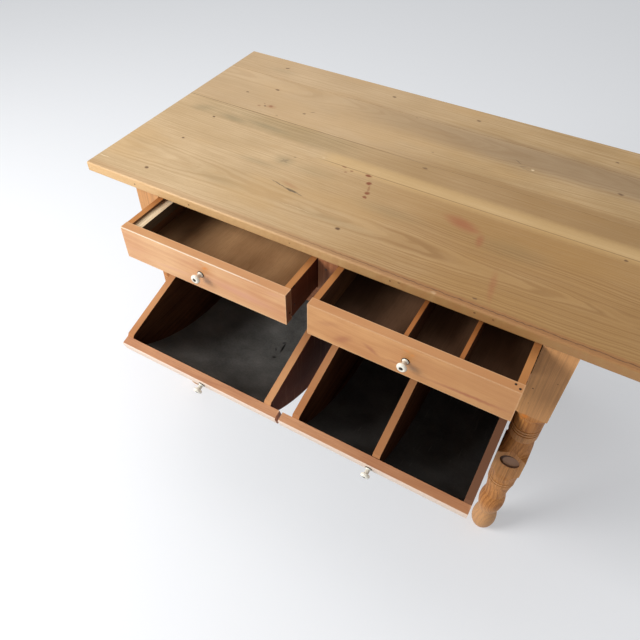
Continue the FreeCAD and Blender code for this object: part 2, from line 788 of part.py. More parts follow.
def make_bin(name, left, front_left, knob_place):
    """A tipping bin: two shaped sides, a front rail, a back board and a bent sheet."""
    front_length = f"({LEG_INNER} - bin_side_gap - bin_fronts_gap / 2)"
    inner_left = f"({left} + bin_side_thickness)"
    make_bin_side(f"{name}_side_left", left)
    make_bin_side(f"{name}_side_right", f"({left} + {BIN_WIDTH} - bin_side_thickness)")
    make_lining(f"{name}_lining", left)

    front = new_body(f"{name}_front")
    sketch = new_sketch(front, "Section", "YZ_Plane")
    face, under = "-bin_front_thickness", "(-bin_front_drop - bin_front_height)"
    outline(sketch, ("0", under), [
        to("0", "-bin_front_drop"),
        to(face, "-bin_front_drop"),
        to(face, f"({under} + bin_front_belly)"),
        curve("(bin_front_belly - bin_front_thickness)", under,
              "(bin_front_belly - bin_front_thickness)", f"({under} + bin_front_belly)", "left"),
        to("0", under),
    ])
    rail = pad(front, sketch, front_length)
    near, top = measure(face), measure("-bin_front_drop")

    def on_front_top(middle, along):
        return abs(middle.y - near) + abs(middle.z - top) < SAME_PLACE and abs(along.x) > 0.5

    round_off(front, rail, on_front_top, "bin_front_round")
    pilot = new_sketch(front, "Pilot", "XZ_Plane")
    hole_in(pilot, f"({knob_place} - {front_left})", BIN_KNOB_HEIGHT, "(screw_radius + screw_fit)")
    pocket(front, pilot, "screw_reach", "bin_front_thickness")
    place(front, front_left, *bin_point("0", "0"), "bin_tilt")
    keep(front, front.Name)

    board(f"{name}_back", (f"{BIN_WIDTH} - 2 * bin_side_thickness", "bin_back_thickness", f"-{HEEL_TOP}"),
          (inner_left, *bin_point("(bin_length - bin_back_thickness)", HEEL_TOP)), "bin_tilt")
    make_knob(name, knob_place, *BIN_KNOB_SEAT, "bin_tilt")

    rod = new_body(f"{name}_rod")
    sketch = new_sketch(rod, "Round", "YZ_Plane")
    hole_in(sketch, "0", "0", "rod_radius")
    groove_reach = "(rod_groove_depth - rod_groove_gap)"
    pad(rod, sketch, f"{OPENING_WIDTH} + 2 * {groove_reach}")
    place(rod, f"{left} - bin_side_gap - {groove_reach}", ROD_OPEN, ROD_HEIGHT)
    keep(rod, rod.Name)

    if name == "bin_right":
        divider = new_body(f"{name}_divider")
        sketch = new_sketch(divider, "Outline", "YZ_Plane")
        end = "(bin_length - bin_back_thickness)"
        heel_in = "(bin_heel_radius - bin_back_thickness)"
        foot = f"({HEEL_TOP} - sqrt(bin_heel_radius * bin_heel_radius - {heel_in} * {heel_in}))"
        reach = f"({BELLY_REACH} - lining_thickness)"
        belly_start = f"({BELLY_CENTRE} - sqrt({BELLY_RADIUS} * {BELLY_RADIUS} - {reach} * {reach}))"
        outline(sketch, ("lining_thickness", "-bin_nose_drop"), [
            to("lining_thickness", belly_start),
            curve(BELLY_REACH, BIN_BOTTOM, BELLY_REACH, BELLY_CENTRE, "left"),
            to("(bin_length - bin_heel_radius)", BIN_BOTTOM),
            curve(end, foot, "(bin_length - bin_heel_radius)", HEEL_TOP, "left"),
            to(end, "0"),
            to("bin_nose", "0"),
            to("lining_thickness", "-bin_nose_drop"),
        ])
        hole_in(sketch, ROD_BACK, "-rod_drop", "(rod_radius + rod_fit)")
        pad(divider, sketch, "bin_side_thickness")
        place(divider, "bin_divider_place", *bin_point("0", "0"), "bin_tilt")
        keep(divider, divider.Name)


def check_and_write():
    """Stop on any failed object, then write each sub-part to its own file."""
    faults = [thing.Label for thing in doc.Objects if {"Invalid", "Error"} & set(thing.State)]
    for thing in subparts:
        if thing.Shape.isNull() or not thing.Shape.isValid():
            faults.append(thing.Label + " has no valid shape")
    if faults:
        raise RuntimeError("Not built: " + ", ".join(faults))
    os.makedirs("parts", exist_ok=True)
    for thing in subparts:
        thing.Shape.exportStep(f"parts/{thing.Label}.step")


make_top()
for side_name, side in (("left", -1), ("right", 1)):
    make_leg(f"leg_front_{side_name}", side, "front")
    make_leg(f"leg_back_{side_name}", side, "back")
make_case()
make_runners()
guide_thick = "bin_guide_thickness"
make_bin_guide("bin_guide_left", f"(-{LEG_INNER} - {guide_thick})", guide_thick, LEG_BACK, REAR_LEG,
               ["right"])
make_bin_guide("bin_guide_right", LEG_INNER, guide_thick, LEG_BACK, REAR_LEG, ["left"])
make_bin_guide("bin_guide_centre", "-stile_width / 2", "stile_width", RAIL_BACK, APRON_FACE,
               ["left", "right"])
make_drawer("drawer_left", f"(drawer_end_gap - {LEG_INNER})", "left_drawer_out", "(-drawer_knob_place)")
make_drawer("drawer_right", "(stile_width / 2 + drawer_end_gap)", "right_drawer_out", "drawer_knob_place")
bin_start = f"(bin_side_gap - {LEG_INNER})"
make_bin("bin_left", bin_start, bin_start, "(-left_bin_knob_place)")
make_bin("bin_right", "(stile_width / 2 + bin_side_gap)", "(bin_fronts_gap / 2)", "right_bin_knob_place")
doc.recompute()
check_and_write()
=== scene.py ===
import math
import random
from functools import partial

import bmesh
import bpy
from mathutils import Matrix, Vector
from mathutils.bvhtree import BVHTree


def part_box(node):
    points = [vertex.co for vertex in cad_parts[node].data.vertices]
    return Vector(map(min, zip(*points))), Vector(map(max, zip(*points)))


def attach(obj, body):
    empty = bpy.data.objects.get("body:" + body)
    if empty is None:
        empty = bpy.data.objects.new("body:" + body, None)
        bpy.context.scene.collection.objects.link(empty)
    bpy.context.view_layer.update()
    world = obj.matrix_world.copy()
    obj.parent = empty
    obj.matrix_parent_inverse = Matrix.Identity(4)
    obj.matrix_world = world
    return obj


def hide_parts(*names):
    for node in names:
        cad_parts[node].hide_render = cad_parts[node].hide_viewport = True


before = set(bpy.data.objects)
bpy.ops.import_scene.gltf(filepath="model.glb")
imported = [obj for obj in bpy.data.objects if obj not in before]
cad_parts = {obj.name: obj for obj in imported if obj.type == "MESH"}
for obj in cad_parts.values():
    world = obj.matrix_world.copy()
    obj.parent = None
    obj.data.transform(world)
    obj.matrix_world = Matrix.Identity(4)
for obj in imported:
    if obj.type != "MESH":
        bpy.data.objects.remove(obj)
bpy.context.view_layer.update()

bl_info = {
    "name": "Bakers table",
    "version": (1, 0, 0),
    "blender": (4, 5, 0),
    "location": "3D View > Sidebar > Bakers table",
    "description": "Finishes a bakers table with drawers and tipping flour bins, and sets its stage",
    "category": "Object",
}

MM = 0.001
X, Y, Z = 0, 1, 2
LEFT, RIGHT, AHEAD, BEHIND = (-1, 0, 0), (1, 0, 0), (0, -1, 0), (0, 1, 0)
UP, DOWN = (0, 0, 1), (0, 0, -1)

# The table's own marks in the frame's metres
LEFT_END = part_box("top_board_front")[0].x
FRONT_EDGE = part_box("top_board_front")[0].y
FRONT_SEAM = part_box("top_board_front")[1].y
BACK_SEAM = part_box("top_board_back")[0].y
TOP_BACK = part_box("top_board_back")[1].y
DRAWERS_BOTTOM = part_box("drawer_left_front")[0].z

# The top's height, how deep a mark goes into any board, and the left sheet's height under its scores, in mm
TOP_HEIGHT = 762
MARK_DEPTH = 1000
SHEET_FLOOR = 315

# How far a mark's outline strays along the fibres, the soft rim of a crisp mask, half the width of a joint between
# boards, and how wide the edges of the frame are rubbed, in metres
FRAY = 0.006
CRISP_RIM = 0.001
HALF_JOINT = 0.0005
WORN_EDGE = 0.003

# A tight joint in the wide front board, in mm from the front edge, that shows from the burn marks to the right
FRONT_JOINT = 270

# The round hole in each front leg's block, in mm
SOCKET_HEIGHT = 353
SOCKET_WIDTH = 42


def x_at(mm):
    """How far along the frame's X a place lies that is counted from the top's left end."""
    return LEFT_END + mm * MM


def y_at(mm):
    """How far along the frame's Y a place lies that is counted from the top's front edge."""
    return FRONT_EDGE + mm * MM


def on_table(x, y, z):
    """A place counted in millimetres from the top's left end, its front edge and the floor."""
    return Vector((x_at(x), y_at(y), z * MM))


def linear(hex_colour):
    """An sRGB hex colour as linear red, green, blue and alpha."""
    parts = [int(hex_colour[i:i + 2], 16) / 255 for i in (1, 3, 5)]
    return [p / 12.92 if p <= 0.04045 else ((p + 0.055) / 1.055) ** 2.4 for p in parts] + [1.0]


def paint(colour):
    """A colour that is given as it is or in hex."""
    return linear(colour) if isinstance(colour, str) else colour


def colour_prop(name, description, hex_colour):
    """A colour that a user would change."""
    return bpy.props.FloatVectorProperty(name=name, description=description, subtype="COLOR", size=4,
                                         min=0, max=1, default=linear(hex_colour))


def length_prop(name, description, millimetres):
    """A length that a user would change."""
    return bpy.props.FloatProperty(name=name, description=description, unit="LENGTH", subtype="DISTANCE",
                                   min=0, default=millimetres * MM)


class BakersTableColours(bpy.types.PropertyGroup):
    """Colours that a user would change."""

    top_light: colour_prop("Top, light", "Scrubbed wood of the top between the grain lines", "#d6b68a")
    top_dark: colour_prop("Top, dark", "Grain lines of the top", "#b08a5c")
    front_light: colour_prop("Fronts, light", "Oiled wood of the drawer fronts", "#dcae7a")
    front_dark: colour_prop("Fronts, dark", "Grain lines of the drawer fronts", "#be8354")
    leg_light: colour_prop("Legs, light", "Wood of the legs", "#d8944f")
    leg_dark: colour_prop("Legs, dark", "Grain lines of the legs", "#8c5127")
    bin_light: colour_prop("Bins, light", "Wood of the bins' edges and front rails", "#d29a6b")
    bin_dark: colour_prop("Bins, dark", "Grain lines of the bins", "#a0623a")
    inside_light: colour_prop("Insides, light", "Old wood inside the drawers and bins", "#8a6444")
    inside_dark: colour_prop("Insides, dark", "Grain and grime inside the drawers and bins", "#4c3020")
    stain: colour_prop("Side stain", "Dark stain on the outsides of drawer and bin sides", "#632f18")
    case_light: colour_prop("Frame, light", "Stained wood of the aprons, rails and stile", "#b97b52")
    case_dark: colour_prop("Frame, dark", "Grain lines of the aprons, rails and stile", "#7b4829")
    raw_light: colour_prop("Runners, light", "Bare wood of runners and guides", "#a98a66")
    raw_dark: colour_prop("Runners, dark", "Grime on runners and guides", "#6b5138")
    sheet: colour_prop("Sheet", "Dulled sheet metal of the left bin's belly", "#787773")
    porcelain: colour_prop("Porcelain", "Glaze of the knobs", "#eeeade")
    iron: colour_prop("Iron", "Screws, washers, nails and tacks", "#4b4139")
    rod: colour_prop("Rods", "Steel rods that the bins hang on", "#77726a")
    floor: colour_prop("Floor", "Floor and backdrop", "#f7f8fa")


class BakersTableSizes(bpy.types.PropertyGroup):
    """Sizes that a user would change."""

    ring: length_prop("Grain spacing", "Distance between two grain lines on a face", 8)
    fibre: length_prop("Fibre width", "Width of a fibre streak on a face", 2)
    arris: length_prop("Worn arris", "Width of the pale worn line along an edge", 2.6)
    nail: length_prop("Nail head", "Width of a nail head", 4.5)
    tack: length_prop("Tack head", "Width of a tack head on the sheet's laps", 6)
    slot: length_prop("Screw slot", "Width of the slot in a knob's screw", 1.1)


def new_material(name):
    """An empty node material and its tree."""
    material = bpy.data.materials.new(name)
    material.use_nodes = True
    material.node_tree.nodes.clear()
    return material, material.node_tree


def add(tree, kind, inputs=None, out=0, stops=(), **settings):
    """Adds a shader node with settings, inputs (values, hex colours or sockets) and ramp stops; gives one output."""
    node = tree.nodes.new("ShaderNode" + kind)
    for key, value in settings.items():
        setattr(node, key, value)
    for key, value in (inputs or {}).items():
        if isinstance(value, bpy.types.NodeSocket):
            tree.links.new(value, node.inputs[key])
        else:
            node.inputs[key].default_value = paint(value)
    for index, (position, colour) in enumerate(stops):
        element = node.color_ramp.elements[index]
        element.position, element.color = position, paint(colour)
    return node.outputs[out] if node.outputs else node


# Settings that several nodes share: a Mix node's colours go in at 6 and 7 and come out at 2
SMOOTH = {"interpolation_type": "SMOOTHSTEP"}
COLOURS = {"data_type": "RGBA", "out": 2}

# Turns that lay a board's own X, along its grain, on an axis of the part
GRAIN_TURN = {"X": (0, 0, 0), "Y": (0, 0, 90), "Z": (0, -90, 0)}


def grain(tree, place, axis, seed, pith, ring, fibre, taper, wander):
    """Growth rings, fibres, pores and clouding of a board sawn beside its tree's pith, each from 0 to 1."""
    rng = random.Random(seed)
    turn = [math.radians(a + rng.uniform(-1, 1)) for a in GRAIN_TURN[axis]]
    pith = Vector(pith)
    pith["XYZ".index(axis)] += rng.uniform(-1, 1)
    board = add(tree, "Mapping", {"Vector": place, "Rotation": turn, "Location": pith}, vector_type="TEXTURE")
    slow = add(tree, "Mapping", {"Vector": board, "Scale": (4, 14, 14)})
    drift = add(tree, "TexNoise", {"Vector": slow, "Scale": 1, "Detail": 3}, out="Color")
    bent = add(tree, "VectorMath", {0: drift, 1: (0, wander, wander), 2: board}, operation="MULTIPLY_ADD")
    # A trunk is a cone of rings, so a board cut beside its pith shows them as long arches
    across = add(tree, "VectorMath", {0: bent, 1: (0, 1, 1)}, operation="MULTIPLY")
    radius = add(tree, "VectorMath", {0: across}, out="Value", operation="LENGTH")
    along = add(tree, "SeparateXYZ", {"Vector": board}, out=X)
    radius = add(tree, "Math", {0: along, 1: taper, 2: radius}, operation="MULTIPLY_ADD")
    rings = add(tree, "TexNoise", {"W": radius, "Scale": 1 / ring, "Detail": 2, "Roughness": 0.6},
                noise_dimensions="1D")
    rings = add(tree, "MapRange", {"Value": rings, "From Min": 0.4, "From Max": 0.68})
    # Real pores and fibres are under a millimetre wide: drawn coarser, so that they show at this picture's size
    patterns = []
    for source, scale, detail, roughness, least, most in (
            (bent, (9, 1 / fibre, 1 / fibre), 4, 0.6, 0.3, 0.7),
            (bent, (60, 2.2 / fibre, 2.2 / fibre), 1, 0.5, 0.6, 0.74),
            (board, (5, 12, 12), 3, 0.5, 0.3, 0.7)):
        drawn = add(tree, "Mapping", {"Vector": source, "Scale": scale})
        drawn = add(tree, "TexNoise", {"Vector": drawn, "Scale": 1, "Detail": detail, "Roughness": roughness})
        patterns.append(add(tree, "MapRange", {"Value": drawn, "From Min": least, "From Max": most}))
    return rings, *patterns


def between(tree, place, axis, low, high, soft):
    """A mask that is 1 between two places along an axis and fades out over a soft edge."""
    value = add(tree, "SeparateXYZ", {"Vector": place}, out=axis)
    rise = add(tree, "MapRange", {"Value": value, "From Min": low - soft, "From Max": low}, **SMOOTH)
    fall = add(tree, "MapRange", {"Value": value, "From Min": high + soft, "From Max": high}, **SMOOTH)
    return add(tree, "Math", {0: rise, 1: fall}, operation="MULTIPLY")


def facing(tree, direction, least=0.6):
    """A mask of the faces that look in a direction of the part."""
    normal = add(tree, "TexCoord", out="Normal")
    agree = add(tree, "VectorMath", {0: normal, 1: direction}, out="Value", operation="DOT_PRODUCT")
    return add(tree, "MapRange", {"Value": agree, "From Min": least - 0.1, "From Max": least + 0.1})


def arris(tree, place, node, width):
    """A mask of a box-shaped part's edges, where hands and work have rubbed it pale."""
    low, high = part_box(node)
    middle, half = (low + high) / 2, (high - low) / 2
    off = add(tree, "VectorMath", {0: place, 1: middle}, operation="SUBTRACT")
    off = add(tree, "VectorMath", {0: off}, operation="ABSOLUTE")
    depth = add(tree, "VectorMath", {0: half, 1: off}, operation="SUBTRACT")
    a, b, c = (add(tree, "SeparateXYZ", {"Vector": depth}, out=k) for k in (X, Y, Z))
    least = add(tree, "Math", {0: a, 1: b}, operation="MINIMUM")
    most = add(tree, "Math", {0: a, 1: b}, operation="MAXIMUM")
    other = add(tree, "Math", {0: most, 1: c}, operation="MINIMUM")
    second = add(tree, "Math", {0: least, 1: other}, operation="MAXIMUM")
    return add(tree, "MapRange", {"Value": second, "From Min": width, "From Max": 0.0}, **SMOOTH)


def spots(tree, place, marks, plane="top", crisp=0.4, height=TOP_HEIGHT):
    """A mask of marks, each a row of its place in mm (on a front, the height in place of the depth), its length
    and width in mm, its turn in degrees and its strength."""
    mask = 0.0
    for along, across, length, width, turn, strength in marks:
        turn = math.radians(turn)
        if plane == "top":
            spot, scale, turned = (along, across, height), (length, width, MARK_DEPTH), (0, 0, turn)
        else:
            spot, scale, turned = (along, 0, across), (length, MARK_DEPTH, width), (0, -turn, 0)
        local = add(tree, "Mapping", {"Vector": place, "Location": on_table(*spot), "Rotation": turned,
                                      "Scale": Vector(scale) * MM / 2}, vector_type="TEXTURE")
        away = add(tree, "VectorMath", {0: local}, out="Value", operation="LENGTH")
        mark = add(tree, "MapRange", {"Value": away, "From Min": 1, "From Max": crisp, "To Max": strength}, **SMOOTH)
        mask = add(tree, "Math", {0: mask, 1: mark}, operation="MAXIMUM")
    return mask


def wood(name, nodes, light, dark, axis, seed, pith=(0, 0, -60), layers=None, rough=0.5, coat=0.0, relief=0.2,
         weights=(0.4, 0.35, 0.25), taper=0.012, wander=0.012, ring=None, fibre=None, gloss=0.5):
    """Finishes boards: their grain, with layers of (masks, strength, colour) over it.

    The pith lies where it is said to, in millimetres from the middle of the first board.
    """
    sizes = bpy.context.scene.bakers_table_sizes
    material, tree = new_material(name)
    place = add(tree, "TexCoord", out="Object")
    low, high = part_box(nodes[0])
    pith_place = (low + high) / 2 + Vector(pith) * MM
    rings, streaks, pores, clouds = grain(tree, place, axis, seed, pith_place, ring or sizes.ring,
                                          fibre or sizes.fibre, taper, wander)
    tone = 0.0
    for pattern, weight in zip((rings, streaks, clouds), weights):
        tone = add(tree, "Math", {0: pattern, 1: weight, 2: tone}, operation="MULTIPLY_ADD")
    colour = add(tree, "ValToRGB", {"Fac": tone}, stops=((0.15, light), (0.8, dark)))
    # Marks and stains follow the fibres a little, so their outlines aren't round
    frayed = add(tree, "TexNoise", {"Vector": place, "Scale": 90, "Detail": 3}, out="Color")
    frayed = add(tree, "VectorMath", {0: frayed, 1: (FRAY,) * 3, 2: place}, operation="MULTIPLY_ADD")
    frayed = add(tree, "VectorMath", {0: frayed, 1: (FRAY / 2,) * 3}, operation="SUBTRACT")
    over = [((pores,), 0.5, dark)] + (layers(tree, place, frayed, clouds, rings) if layers else [])
    for masks, strength, layer in over:
        for mask in masks:
            strength = add(tree, "Math", {0: mask, 1: strength}, operation="MULTIPLY")
        colour = add(tree, "Mix", {0: strength, 6: colour, 7: layer}, **COLOURS)
    dull = add(tree, "MapRange", {"Value": tone, "To Min": rough - 0.07, "To Max": rough + 0.1})
    height = add(tree, "Math", {0: pores, 1: -1.0, 2: tone}, operation="MULTIPLY_ADD")
    bump = add(tree, "Bump", {"Height": height, "Strength": relief, "Distance": 0.0008}, invert=True)
    shader = add(tree, "BsdfPrincipled", {"Base Color": colour, "Roughness": dull, "Normal": bump,
                                          "Specular IOR Level": gloss, "Coat Weight": coat, "Coat Roughness": 0.35})
    add(tree, "OutputMaterial", {"Surface": shader})
    dress(material, *nodes)


def dress(material, *nodes):
    """Gives CAD parts a finish."""
    for node in nodes:
        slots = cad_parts[node].data.materials
        slots.clear()
        slots.append(material)


# Marks on the top, each a row for spots(), in mm from its left end and front edge

KNOTS = (
    (140, 610, 17, 8, 10, 0.8), (182, 492, 17, 9, 5, 0.9), (122, 444, 12, 8, 0, 0.75),
    (200, 406, 10, 8, 0, 0.8), (303, 422, 12, 8, 20, 0.8), (318, 438, 16, 5, 40, 0.5),
    (123, 299, 10, 8, 0, 1.0), (119, 186, 10, 8, 0, 0.95), (128, 49, 12, 10, 0, 0.9),
    (457, 612, 16, 8, 0, 0.9), (683, 607, 13, 8, 0, 0.9), (650, 352, 17, 9, 0, 0.7),
    (585, 73, 13, 10, 0, 1.0), (881, 25, 12, 6, 0, 0.8), (250, 380, 10, 6, 0, 0.4),
    (384, 246, 9, 6, 0, 0.5), (548, 545, 10, 5, 0, 0.4), (640, 420, 8, 5, 0, 0.4),
    (1040, 470, 16, 9, 0, 0.8), (1090, 260, 12, 8, 0, 0.8), (1010, 590, 12, 8, 0, 0.7),
)
BURNS = (
    (557, 264, 21, 11, 0, 1.0), (570, 239, 17, 15, 0, 1.0), (583, 206, 15, 14, 0, 0.95),
    (584, 191, 13, 10, 0, 0.9), (578, 222, 7, 31, 12, 0.45), (496, 268, 15, 7, 0, 0.7),
    (517, 262, 13, 8, 0, 0.7), (508, 252, 10, 7, 0, 0.5), (213, 412, 14, 11, 0, 0.6),
    (186, 400, 11, 8, 0, 0.5), (193, 416, 10, 6, 0, 0.4),
)
SCRATCHES = (
    (441, 135, 46, 9, -8, 1.0), (408, 142, 60, 3.5, -14, 0.9), (462, 131, 30, 3, -14, 0.7),
    (371, 223, 30, 8, 50, 0.35), (371, 223, 26, 6, -35, 0.3), (819, 481, 26, 3, -35, 0.8),
    (833, 468, 20, 3, 30, 0.6), (845, 460, 60, 3, -12, 0.4),
)
STAINS = (
    (788, 210, 112, 50, -16, 0.8), (806, 202, 70, 26, -6, 0.7), (836, 178, 60, 24, -82, 0.6),
    (898, 68, 20, 120, 10, 0.45), (430, 150, 70, 18, -12, 0.3), (215, 410, 40, 24, 0, 0.35),
)
SMUDGES = (
    (74, 322, 90, 46, 20, 0.8), (166, 317, 110, 36, -6, 1.0), (260, 325, 170, 30, -3, 0.9),
    (371, 223, 80, 56, 0, 0.9), (320, 190, 160, 30, 0, 0.6), (640, 170, 240, 60, 0, 0.5),
    (450, 220, 160, 60, 0, 0.5), (900, 180, 200, 90, 0, 0.5), (560, 90, 260, 40, 0, 0.4),
    (300, 90, 200, 50, 0, 0.4), (140, 590, 120, 40, 0, 0.4),
)
PALE_MARKS = (
    (18, 38, 40, 3, 0, 0.9), (856, 465, 9, 6, 0, 1.0), (485, 89, 130, 2, 0, 0.5),
    (440, 277, 8, 5, 0, 0.6), (813, 3, 16, 9, 0, 0.2), (140, 600, 12, 3, 0, 0.3),
)
EDGE_HOLES = (
    (134, 750, 5, 5, 0, 1.0), (278, 750, 5, 5, 0, 1.0), (732, 753, 5, 5, 0, 1.0),
    (749, 756, 7, 4, 0, 0.8), (891, 754, 6, 5, 0, 1.0), (924, 754, 5, 5, 0, 0.8),
    (520, 751, 4, 4, 0, 0.7),
)


def top_layers(tree, place, frayed, clouds, rings):
    """What years of baking left on the top, and painted light on its left and painted shade on its right."""
    x = add(tree, "SeparateXYZ", {"Vector": frayed}, out=X)
    # Painted light and shade: these ramps paint the top lighter towards its left end and darker towards its right
    painted_shade_right = add(tree, "MapRange", {"Value": x, "From Min": x_at(200), "From Max": x_at(900)}, **SMOOTH)
    painted_light_left = add(tree, "Math", {0: 1.0, 1: painted_shade_right}, operation="SUBTRACT")
    far_right = add(tree, "MapRange", {"Value": x, "From Min": x_at(560), "From Max": x_at(760)}, **SMOOTH)
    up, front = facing(tree, UP), facing(tree, AHEAD, 0.5)
    joint = y_at(FRONT_JOINT)
    near = between(tree, place, Y, FRONT_EDGE, joint, CRISP_RIM)
    inner = between(tree, frayed, Y, joint + 0.03, FRONT_SEAM + 0.01, 0.02)
    joint_line = between(tree, place, Y, joint - HALF_JOINT, joint + HALF_JOINT, 0.0012)
    joint_length = between(tree, frayed, X, x_at(470), x_at(1200), 0.06)
    behind = between(tree, frayed, Y, FRONT_SEAM + 0.012, TOP_BACK, 0.012)
    rubbed = between(tree, frayed, Y, y_at(3), y_at(13), 0.006)
    split = between(tree, frayed, Y, y_at(9.6), y_at(10.4), 0.0012)
    band = between(tree, frayed, Y, y_at(485), y_at(535), 0.045)
    shade = between(tree, frayed, Y, FRONT_SEAM - 0.055, FRONT_SEAM - 0.012, 0.02)
    shade_length = between(tree, frayed, X, x_at(120), x_at(420), 0.12)
    clean = between(tree, frayed, Y, joint + 0.001, joint + 0.024, 0.022)
    seams = [between(tree, place, Y, seam - HALF_JOINT, seam + HALF_JOINT, CRISP_RIM)
             for seam in (FRONT_SEAM, BACK_SEAM)]
    figure = between(tree, frayed, Y, y_at(20), y_at(170), 0.04)
    patches = add(tree, "Mapping", {"Vector": place, "Scale": (3, 7, 7)})
    patches = add(tree, "TexNoise", {"Vector": patches, "Scale": 1, "Detail": 3, "Roughness": 0.6})
    ragged = add(tree, "MapRange", {"Value": patches, "From Min": 0.4, "From Max": 0.6, "To Min": 0.4})
    patches = add(tree, "MapRange", {"Value": patches, "From Min": 0.46, "From Max": 0.66}, **SMOOTH)
    return [
        ((clouds, up), 0.3, "#ab8d5c"),
        ((patches, up), 0.34, "#c79a5a"),
        ((painted_shade_right, up), 0.2, "#b08d58"),
        ((near, painted_shade_right, up), 0.62, "#a5773b"),
        ((inner, painted_shade_right, up), 0.6, "#9a7342"),
        ((painted_light_left, up), 0.16, "#ecd6b2"),
        ((behind, painted_light_left, up), 0.38, "#c2a37f"),
        ((shade, shade_length, ragged), 0.38, "#8d7a52"),
        ((shade, shade_length, rings), 0.3, "#86704a"),
        ((clean, joint_length), 0.5, "#dab47a"),
        ((figure, far_right, rings, up), 0.45, "#8a6238"),
        ((spots(tree, frayed, SMUDGES, crisp=0.0),), 0.42, "#84795a"),
        ((band, painted_shade_right, up), 0.5, "#856d56"),
        ((spots(tree, frayed, STAINS, crisp=0.1),), 1.0, "#a4623c"),
        ((spots(tree, frayed, BURNS),), 1.0, "#8a4d2a"),
        ((spots(tree, frayed, KNOTS),), 1.0, "#6b4c30"),
        ((spots(tree, frayed, SCRATCHES),), 0.85, "#62513c"),
        ((front,), 0.8, "#d6ae77"),
        ((front, painted_shade_right, painted_shade_right), 0.75, "#8f6832"),
        ((rubbed,), 0.22, "#a8703f"),
        ((rubbed, painted_shade_right), 0.55, "#9c653a"),
        ((split, painted_shade_right), 0.75, "#5d3d22"),
        ((seams[0], painted_light_left), 0.75, "#6f5231"),
        ((seams[0],), 0.25, "#6f5231"),
        ((joint_line, joint_length), 0.6, "#7d5b35"),
        ((seams[1],), 0.45, "#806240"),
        ((spots(tree, frayed, PALE_MARKS),), 1.0, "#e8cfa6"),
        ((spots(tree, place, EDGE_HOLES, plane="front"),), 1.0, "#6b4526"),
    ]


class BAKERSTABLE_OT_top(bpy.types.Operator):
    """Finishes the three boards of the top"""

    bl_idname = "bakerstable.top"
    bl_label = "Top"

    def execute(self, context):
        # Scrubbed softwood, waxed long ago: a dull honey face with soft streaks, knots and stains, no gloss
        colours = context.scene.bakers_table_colours
        for node, seed, pith in (("top_board_front", 3, (0, -74, -34)), ("top_board_middle", 8, (0, 60, -60)),
                                 ("top_board_back", 5, (0, -60, -90))):
            wood(f"Scrubbed pine, {node}", [node], colours.top_light, colours.top_dark, "X", seed, pith, top_layers,
                 rough=0.55, relief=0.25, weights=(0.34, 0.36, 0.3), ring=0.0034, taper=0.02, wander=0.016)
        return {"FINISHED"}


def worn_edges(node, tree, place, frayed, clouds, rings):
    """Layers that rub one part's edges pale and cloud it with red."""
    return [((clouds,), 0.3, "#b06c40"), ((arris(tree, frayed, node, WORN_EDGE),), 0.3, "#c98f66")]


# Figure and wear of the drawer fronts, each a row for spots(), with the height in place of the depth

FRONT_STREAKS = {
    "drawer_left_front": ((470, 672, 240, 34, -3, 0.9), (300, 660, 200, 14, 3, 0.6),
                          (180, 668, 160, 10, 2, 0.4), (545, 708, 60, 14, 8, 0.6)),
    "drawer_right_front": ((690, 664, 70, 26, 35, 0.8), (748, 670, 60, 16, -30, 0.8),
                           (800, 664, 90, 12, 10, 0.7), (930, 659, 260, 13, 2, 1.0),
                           (660, 690, 80, 20, 20, 0.4)),
}
FRONT_RUBS = {
    "drawer_left_front": ((384, 700, 26, 13, 20, 1.0), (376, 708, 16, 7, 0, 0.6)),
    "drawer_right_front": ((814, 706, 22, 11, 0, 0.7), (826, 700, 14, 8, 40, 0.5)),
}


def front_layers(node, streak, arris_reach, tree, place, frayed, clouds, rings):
    """Layers of a drawer front: its figure, the knob's painted shadow, orange rubs, painted shade and a pale worn arris
    with a painted highlight.
    """
    sizes = bpy.context.scene.bakers_table_sizes
    stain = bpy.context.scene.bakers_table_colours.stain
    low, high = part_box(node)
    knob = sum(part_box(node.replace("front", "washer")), Vector()) / 2 - on_table(0, 0, 0)
    # The knob's painted shadow, laid below and right of the knob, where light from the upper left casts it
    shade = (knob.x / MM + 12, knob.z / MM - 14, 34, 16, 25, 0.6)
    up, front = facing(tree, UP), facing(tree, AHEAD)
    ends = add(tree, "Math", {0: facing(tree, RIGHT), 1: facing(tree, LEFT)}, operation="MAXIMUM")
    edge = arris(tree, place, node, sizes.arris)
    above = between(tree, place, Z, high.z - sizes.arris, high.z, CRISP_RIM)
    ahead = between(tree, place, Y, low.y, low.y + sizes.arris, CRISP_RIM)
    # Wear and a painted highlight: the top front arris is painted near white from the front's left end over its reach
    wear_and_highlight_stretch = between(tree, frayed, X, low.x, low.x + arris_reach, 0.1)
    # Painted shade: the front is painted darker towards the table's right end
    painted_shade_right_end = between(tree, frayed, X, x_at(950), x_at(1100), 0.18)
    return [
        ((clouds,), 0.22, "#c98a56"),
        ((painted_shade_right_end,), 0.45, "#a46c38"),
        ((spots(tree, frayed, FRONT_STREAKS[node], plane="front", crisp=0.0),), 0.92, streak),
        ((spots(tree, place, (shade,), plane="front", crisp=0.0),), 0.5, "#9a8272"),
        ((spots(tree, frayed, FRONT_RUBS[node], plane="front", crisp=0.1), front), 0.9, "#d07f35"),
        ((up,), 0.6, "#c38450"),
        ((ends,), 0.85, stain),
        ((edge,), 0.25, "#f0cfa4"),
        ((edge, above, ahead, wear_and_highlight_stretch), 0.8, "#fdebd2"),
    ]


